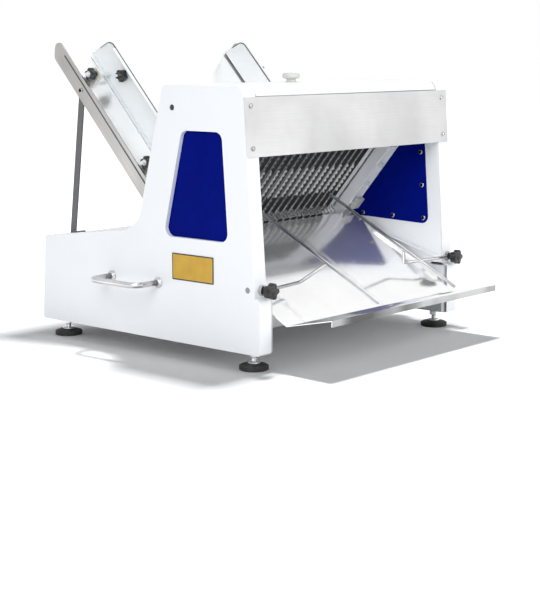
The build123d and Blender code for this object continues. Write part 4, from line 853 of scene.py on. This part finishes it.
def plug_domes(mats):
    """Domed caps over the panel plugs: black ones above, grey ones below."""
    low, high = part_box("panel_plugs")
    whole = bmesh.new()
    upper = (high.y - PLUG_R, high.z - PLUG_R, 0)
    lower = (low.y + PLUG_R, low.z + PLUG_R, 1)
    for y, z, index in (upper, lower):
        for side, x in ((-1, low.x), (1, high.x)):
            part = bmesh.new()
            add_lathe(part, [
                (0, 0.0002), (PLUG_R * 0.55, 0), (PLUG_R * 0.80, -0.0004), (PLUG_R * 0.86, -0.0009),
                (PLUG_R * 0.98, -0.0009), (PLUG_R, -0.0018), (PLUG_R * 0.9, -0.0045), (0, -0.0045),
            ], 40, index)
            turn = Matrix.Rotation(side * pi / 2, 4, "Y")
            merge(whole, part, matrix=Matrix.Translation((x - side * PLUG_SINK, y, z)) @ turn)
    obj = from_bmesh("plug_domes", whole)
    mats_here = [mats["black_plastic"], mats["grey_plastic"]]
    finish_piece(obj, BODY_OF["panel_plugs"], mats_here, ["panel_plugs"])


def screw_head(bm, at, direction, radius, height, lift):
    """A pan screw head on a thin washer, with two flat black strips as the painted shade of its cross recess."""
    upright = Vector((0, 0, 1)).rotation_difference(direction.normalized())
    place = Matrix.Translation(at) @ upright.to_matrix().to_4x4()
    steps = 32
    part = bmesh.new()
    washer = radius * 1.25
    add_lathe(part, [(0, 0), (washer, 0), (washer, lift), (radius * 0.98, lift), (0, lift)], steps)
    add_lathe(part, [
        (0, lift - 0.0001), (radius, lift), (radius * 0.99, lift + height * 0.45),
        (radius * 0.86, lift + height * 0.80), (radius * 0.60, lift + height), (0, lift + height * 1.02),
    ], steps)
    merge(bm, part, matrix=place)
    part = bmesh.new()
    long_half, short_half = radius * 0.62, radius * 0.07
    level = lift + height * 1.03
    for angle in (0.4, 0.4 + pi / 2):
        c, s = cos(angle), sin(angle)
        verts = []
        for i, j in ((-1, -1), (1, -1), (1, 1), (-1, 1)):
            x, y = i * long_half, j * short_half
            verts.append(part.verts.new((x * c - y * s, x * s + y * c, level)))
        # The strips are black: painted shade of the cross recess, which has no depth.
        part.faces.new(verts).material_index = 1
    merge(bm, part, matrix=place)


def islands(node):
    """The box of each patch of a CAD node's mesh, as (low, high).

    A patch is a stretch of faces that share corner points. The frame's meshes are
    split along their sharp edges, so one solid has several patches.
    """
    obj = NODES[node]
    bm = bmesh.new()
    bm.from_mesh(obj.data)
    bm.transform(obj.matrix_world)
    seen = set()
    boxes = []
    for first in bm.verts:
        if first in seen:
            continue
        seen.add(first)
        stack = [first]
        points = []
        while stack:
            vert = stack.pop()
            points.append(vert.co.copy())
            for edge in vert.link_edges:
                other = edge.other_vert(vert)
                if other not in seen:
                    seen.add(other)
                    stack.append(other)
        low = Vector([min(p[k] for p in points) for k in range(3)])
        high = Vector([max(p[k] for p in points) for k in range(3)])
        boxes.append((low, high))
    bm.free()
    return boxes


def cross_screws(mats):
    """Pan screws with a cross recess painted as black strips of shade, in place of the plain heads.

    Every patch of a plain head gets one, so several lie at each screw's place.
    """
    whole = bmesh.new()
    for low, high in islands("panel_screws"):
        size = high - low
        middle = (low + high) / 2
        if size.x < size.y:
            radius, height = size.y / 2, size.x
            inward = abs(middle.x) > INNER_WALL_X
            direction = Vector((-1 if (middle.x > 0) == inward else 1, 0, 0))
        else:
            radius, height = size.x / 2, SCREW_T
            direction = Vector((0, -cos(radians(FRONT_LEAN)), sin(radians(FRONT_LEAN))))
        seat = middle - direction * height / 2
        screw_head(whole, seat, direction, radius * 0.84, height * 0.86, height * 0.1)
    obj = from_bmesh("cross_screws", whole)
    mats_here = [mats["wire_steel"], mats["black_plastic"]]
    finish_piece(obj, BODY_OF["panel_screws"], mats_here, ["panel_screws"])


EDGE_WIDTHS = {
    0.0015: ("motor", "switch_box"),
    0.0012: ("left_side_panel", "right_side_panel"),
    0.0010: ("front_blade_frame", "rear_blade_frame", "top_cover"),
    0.0008: ("base_frame", "frame_blocks", "front_cover"),
    0.0006: ("base_cover", "cable_gland", "guide_lugs", "start_button", "stop_button"),
    0.0005: ("chute_rails", "chute_struts", "left_loaf_guide", "outfeed_slide", "right_loaf_guide"),
    0.0004: (
        "cover_hinge_knuckles", "cover_hinges", "crumb_drawer", "inner_covers", "left_inner_wall",
        "left_window_plate", "rear_blade_cover", "rear_panel", "right_inner_wall", "right_window_plate",
    ),
    0.0003: ("name_plate",),
}
OWN_MATERIALS = {
    "outfeed_slide": "slide_steel", "base_frame": "frame_paint", "chute_floor": "chute_steel",
    "left_wire_guide": "wire_steel", "right_wire_guide": "wire_steel", "chute_rails": "rail_steel",
    "left_loaf_guide": "guide_steel", "right_loaf_guide": "guide_steel",
}


def dress_cad(mats):
    """Materials and edge rounding of the CAD nodes that stay."""
    for name, obj in NODES.items():
        obj.data.materials.clear()
        obj.data.materials.append(mats[OWN_MATERIALS.get(name, SLOT_OF[name])])
    for width, names in EDGE_WIDTHS.items():
        for name in names:
            soften(NODES[name], width)


# Stage

def by_ray(nodes, links):
    """1 for camera, glossy and transmission rays, 0 for the light's own."""
    path = nodes.new("ShaderNodeLightPath")
    first = nodes.new("ShaderNodeMath")
    first.operation = "MAXIMUM"
    links.new(path.outputs["Is Camera Ray"], first.inputs[0])
    links.new(path.outputs["Is Glossy Ray"], first.inputs[1])
    second = nodes.new("ShaderNodeMath")
    second.operation = "MAXIMUM"
    links.new(first.outputs[0], second.inputs[0])
    links.new(path.outputs["Is Transmission Ray"], second.inputs[1])
    return second.outputs[0]


def make_world():
    """Soft light from all round, seen as plain white."""
    world = bpy.data.worlds.new("studio")
    world.use_nodes = True
    scene.world = world
    nodes, links = world.node_tree.nodes, world.node_tree.links
    nodes.clear()
    light = nodes.new("ShaderNodeBackground")
    light.inputs["Color"].default_value = (0.96, 0.98, 1.0, 1)
    light.inputs["Strength"].default_value = AMBIENT
    white = nodes.new("ShaderNodeBackground")
    white.inputs["Color"].default_value = (1, 1, 1, 1)
    white.inputs["Strength"].default_value = 1.0
    mix = nodes.new("ShaderNodeMixShader")
    out = nodes.new("ShaderNodeOutputWorld")
    links.new(by_ray(nodes, links), mix.inputs["Fac"])
    links.new(light.outputs[0], mix.inputs[1])
    links.new(white.outputs[0], mix.inputs[2])
    links.new(mix.outputs[0], out.inputs["Surface"])


def make_floor():
    """A white floor that keeps the shadow and turns fully white further out."""
    bm = bmesh.new()
    signs = ((-1, -1), (1, -1), (1, 1), (-1, 1))
    bm.faces.new([bm.verts.new((i * FLOOR_HALF, j * FLOOR_HALF, 0)) for i, j in signs])
    floor = from_bmesh("floor", bm, smooth=False)
    s = Shader("floor_white")
    s.put("Base Color", (FLOOR_TONE, FLOOR_TONE, FLOOR_TONE, 1))
    s.put("Roughness", 0.9)
    s.put("Specular IOR Level", 0.0)
    distance = s.nodes.new("ShaderNodeVectorMath")
    distance.operation = "LENGTH"
    s.link(s.coord, distance.inputs[0])
    lift = s.remap(distance.outputs["Value"], LIFT_NEAR, LIFT_FAR, LIFT_LEAST, 1.0)
    seen = s.nodes.new("ShaderNodeMath")
    seen.operation = "MULTIPLY"
    s.link(by_ray(s.nodes, s.links), seen.inputs[0])
    s.link(lift, seen.inputs[1])
    glow = s.nodes.new("ShaderNodeEmission")
    glow.inputs["Color"].default_value = (1, 1, 1, 1)
    s.link(seen.outputs[0], glow.inputs["Strength"])
    add = s.nodes.new("ShaderNodeAddShader")
    s.link(s.bsdf.outputs[0], add.inputs[0])
    s.link(glow.outputs[0], add.inputs[1])
    s.link(add.outputs[0], s.nodes["Material Output"].inputs["Surface"])
    floor.data.materials.append(s.mat)
    return floor


def area_light(name, at, target, size, power, floor, state):
    """A soft light, aimed at a point, that lights the floor alone or leaves it out."""
    data = bpy.data.lights.new(name, "AREA")
    data.shape = "RECTANGLE"
    data.size, data.size_y = size
    data.energy = power
    obj = bpy.data.objects.new(name, data)
    scene.collection.objects.link(obj)
    obj.location = at
    turn = (Vector(target) - Vector(at)).to_track_quat("-Z", "Y")
    obj.rotation_euler = turn.to_euler()
    group = bpy.data.collections.new(name + "_floor")
    group.objects.link(floor)
    group.collection_objects[0].light_linking.link_state = state
    obj.light_linking.receiver_collection = group


def make_lights(floor):
    """One light for the floor and its shadow, and three softer ones for the machine."""
    area_light("ground", (0.27, 0.03, 2.6), (0, 0, 0), (0.3, 0.3), 72, floor, "INCLUDE")
    area_light("top", (0.35, 0.15, 2.6), (0, 0, 0.3), (1.4, 1.4), 18, floor, "EXCLUDE")
    area_light("left", (-2.2, -1.2, 1.6), (0, 0, 0.3), (1.6, 1.4), 38, floor, "EXCLUDE")
    area_light("front", (0.8, -2.6, 1.5), (0, 0, 0.3), (1.6, 1.2), 30, floor, "EXCLUDE")


def main():
    make_camera()
    mats = build_materials()
    dress_cad(mats)
    blade_sets(mats)
    guide_shade_lines(mats)
    rail_shade_lines(mats)
    plug_domes(mats)
    cross_screws(mats)
    chute_knobs(mats)
    clamp_knobs(mats)
    lid_knob(mats)
    feet(mats)
    carry_handles(mats)
    make_world()
    make_lights(make_floor())


main()
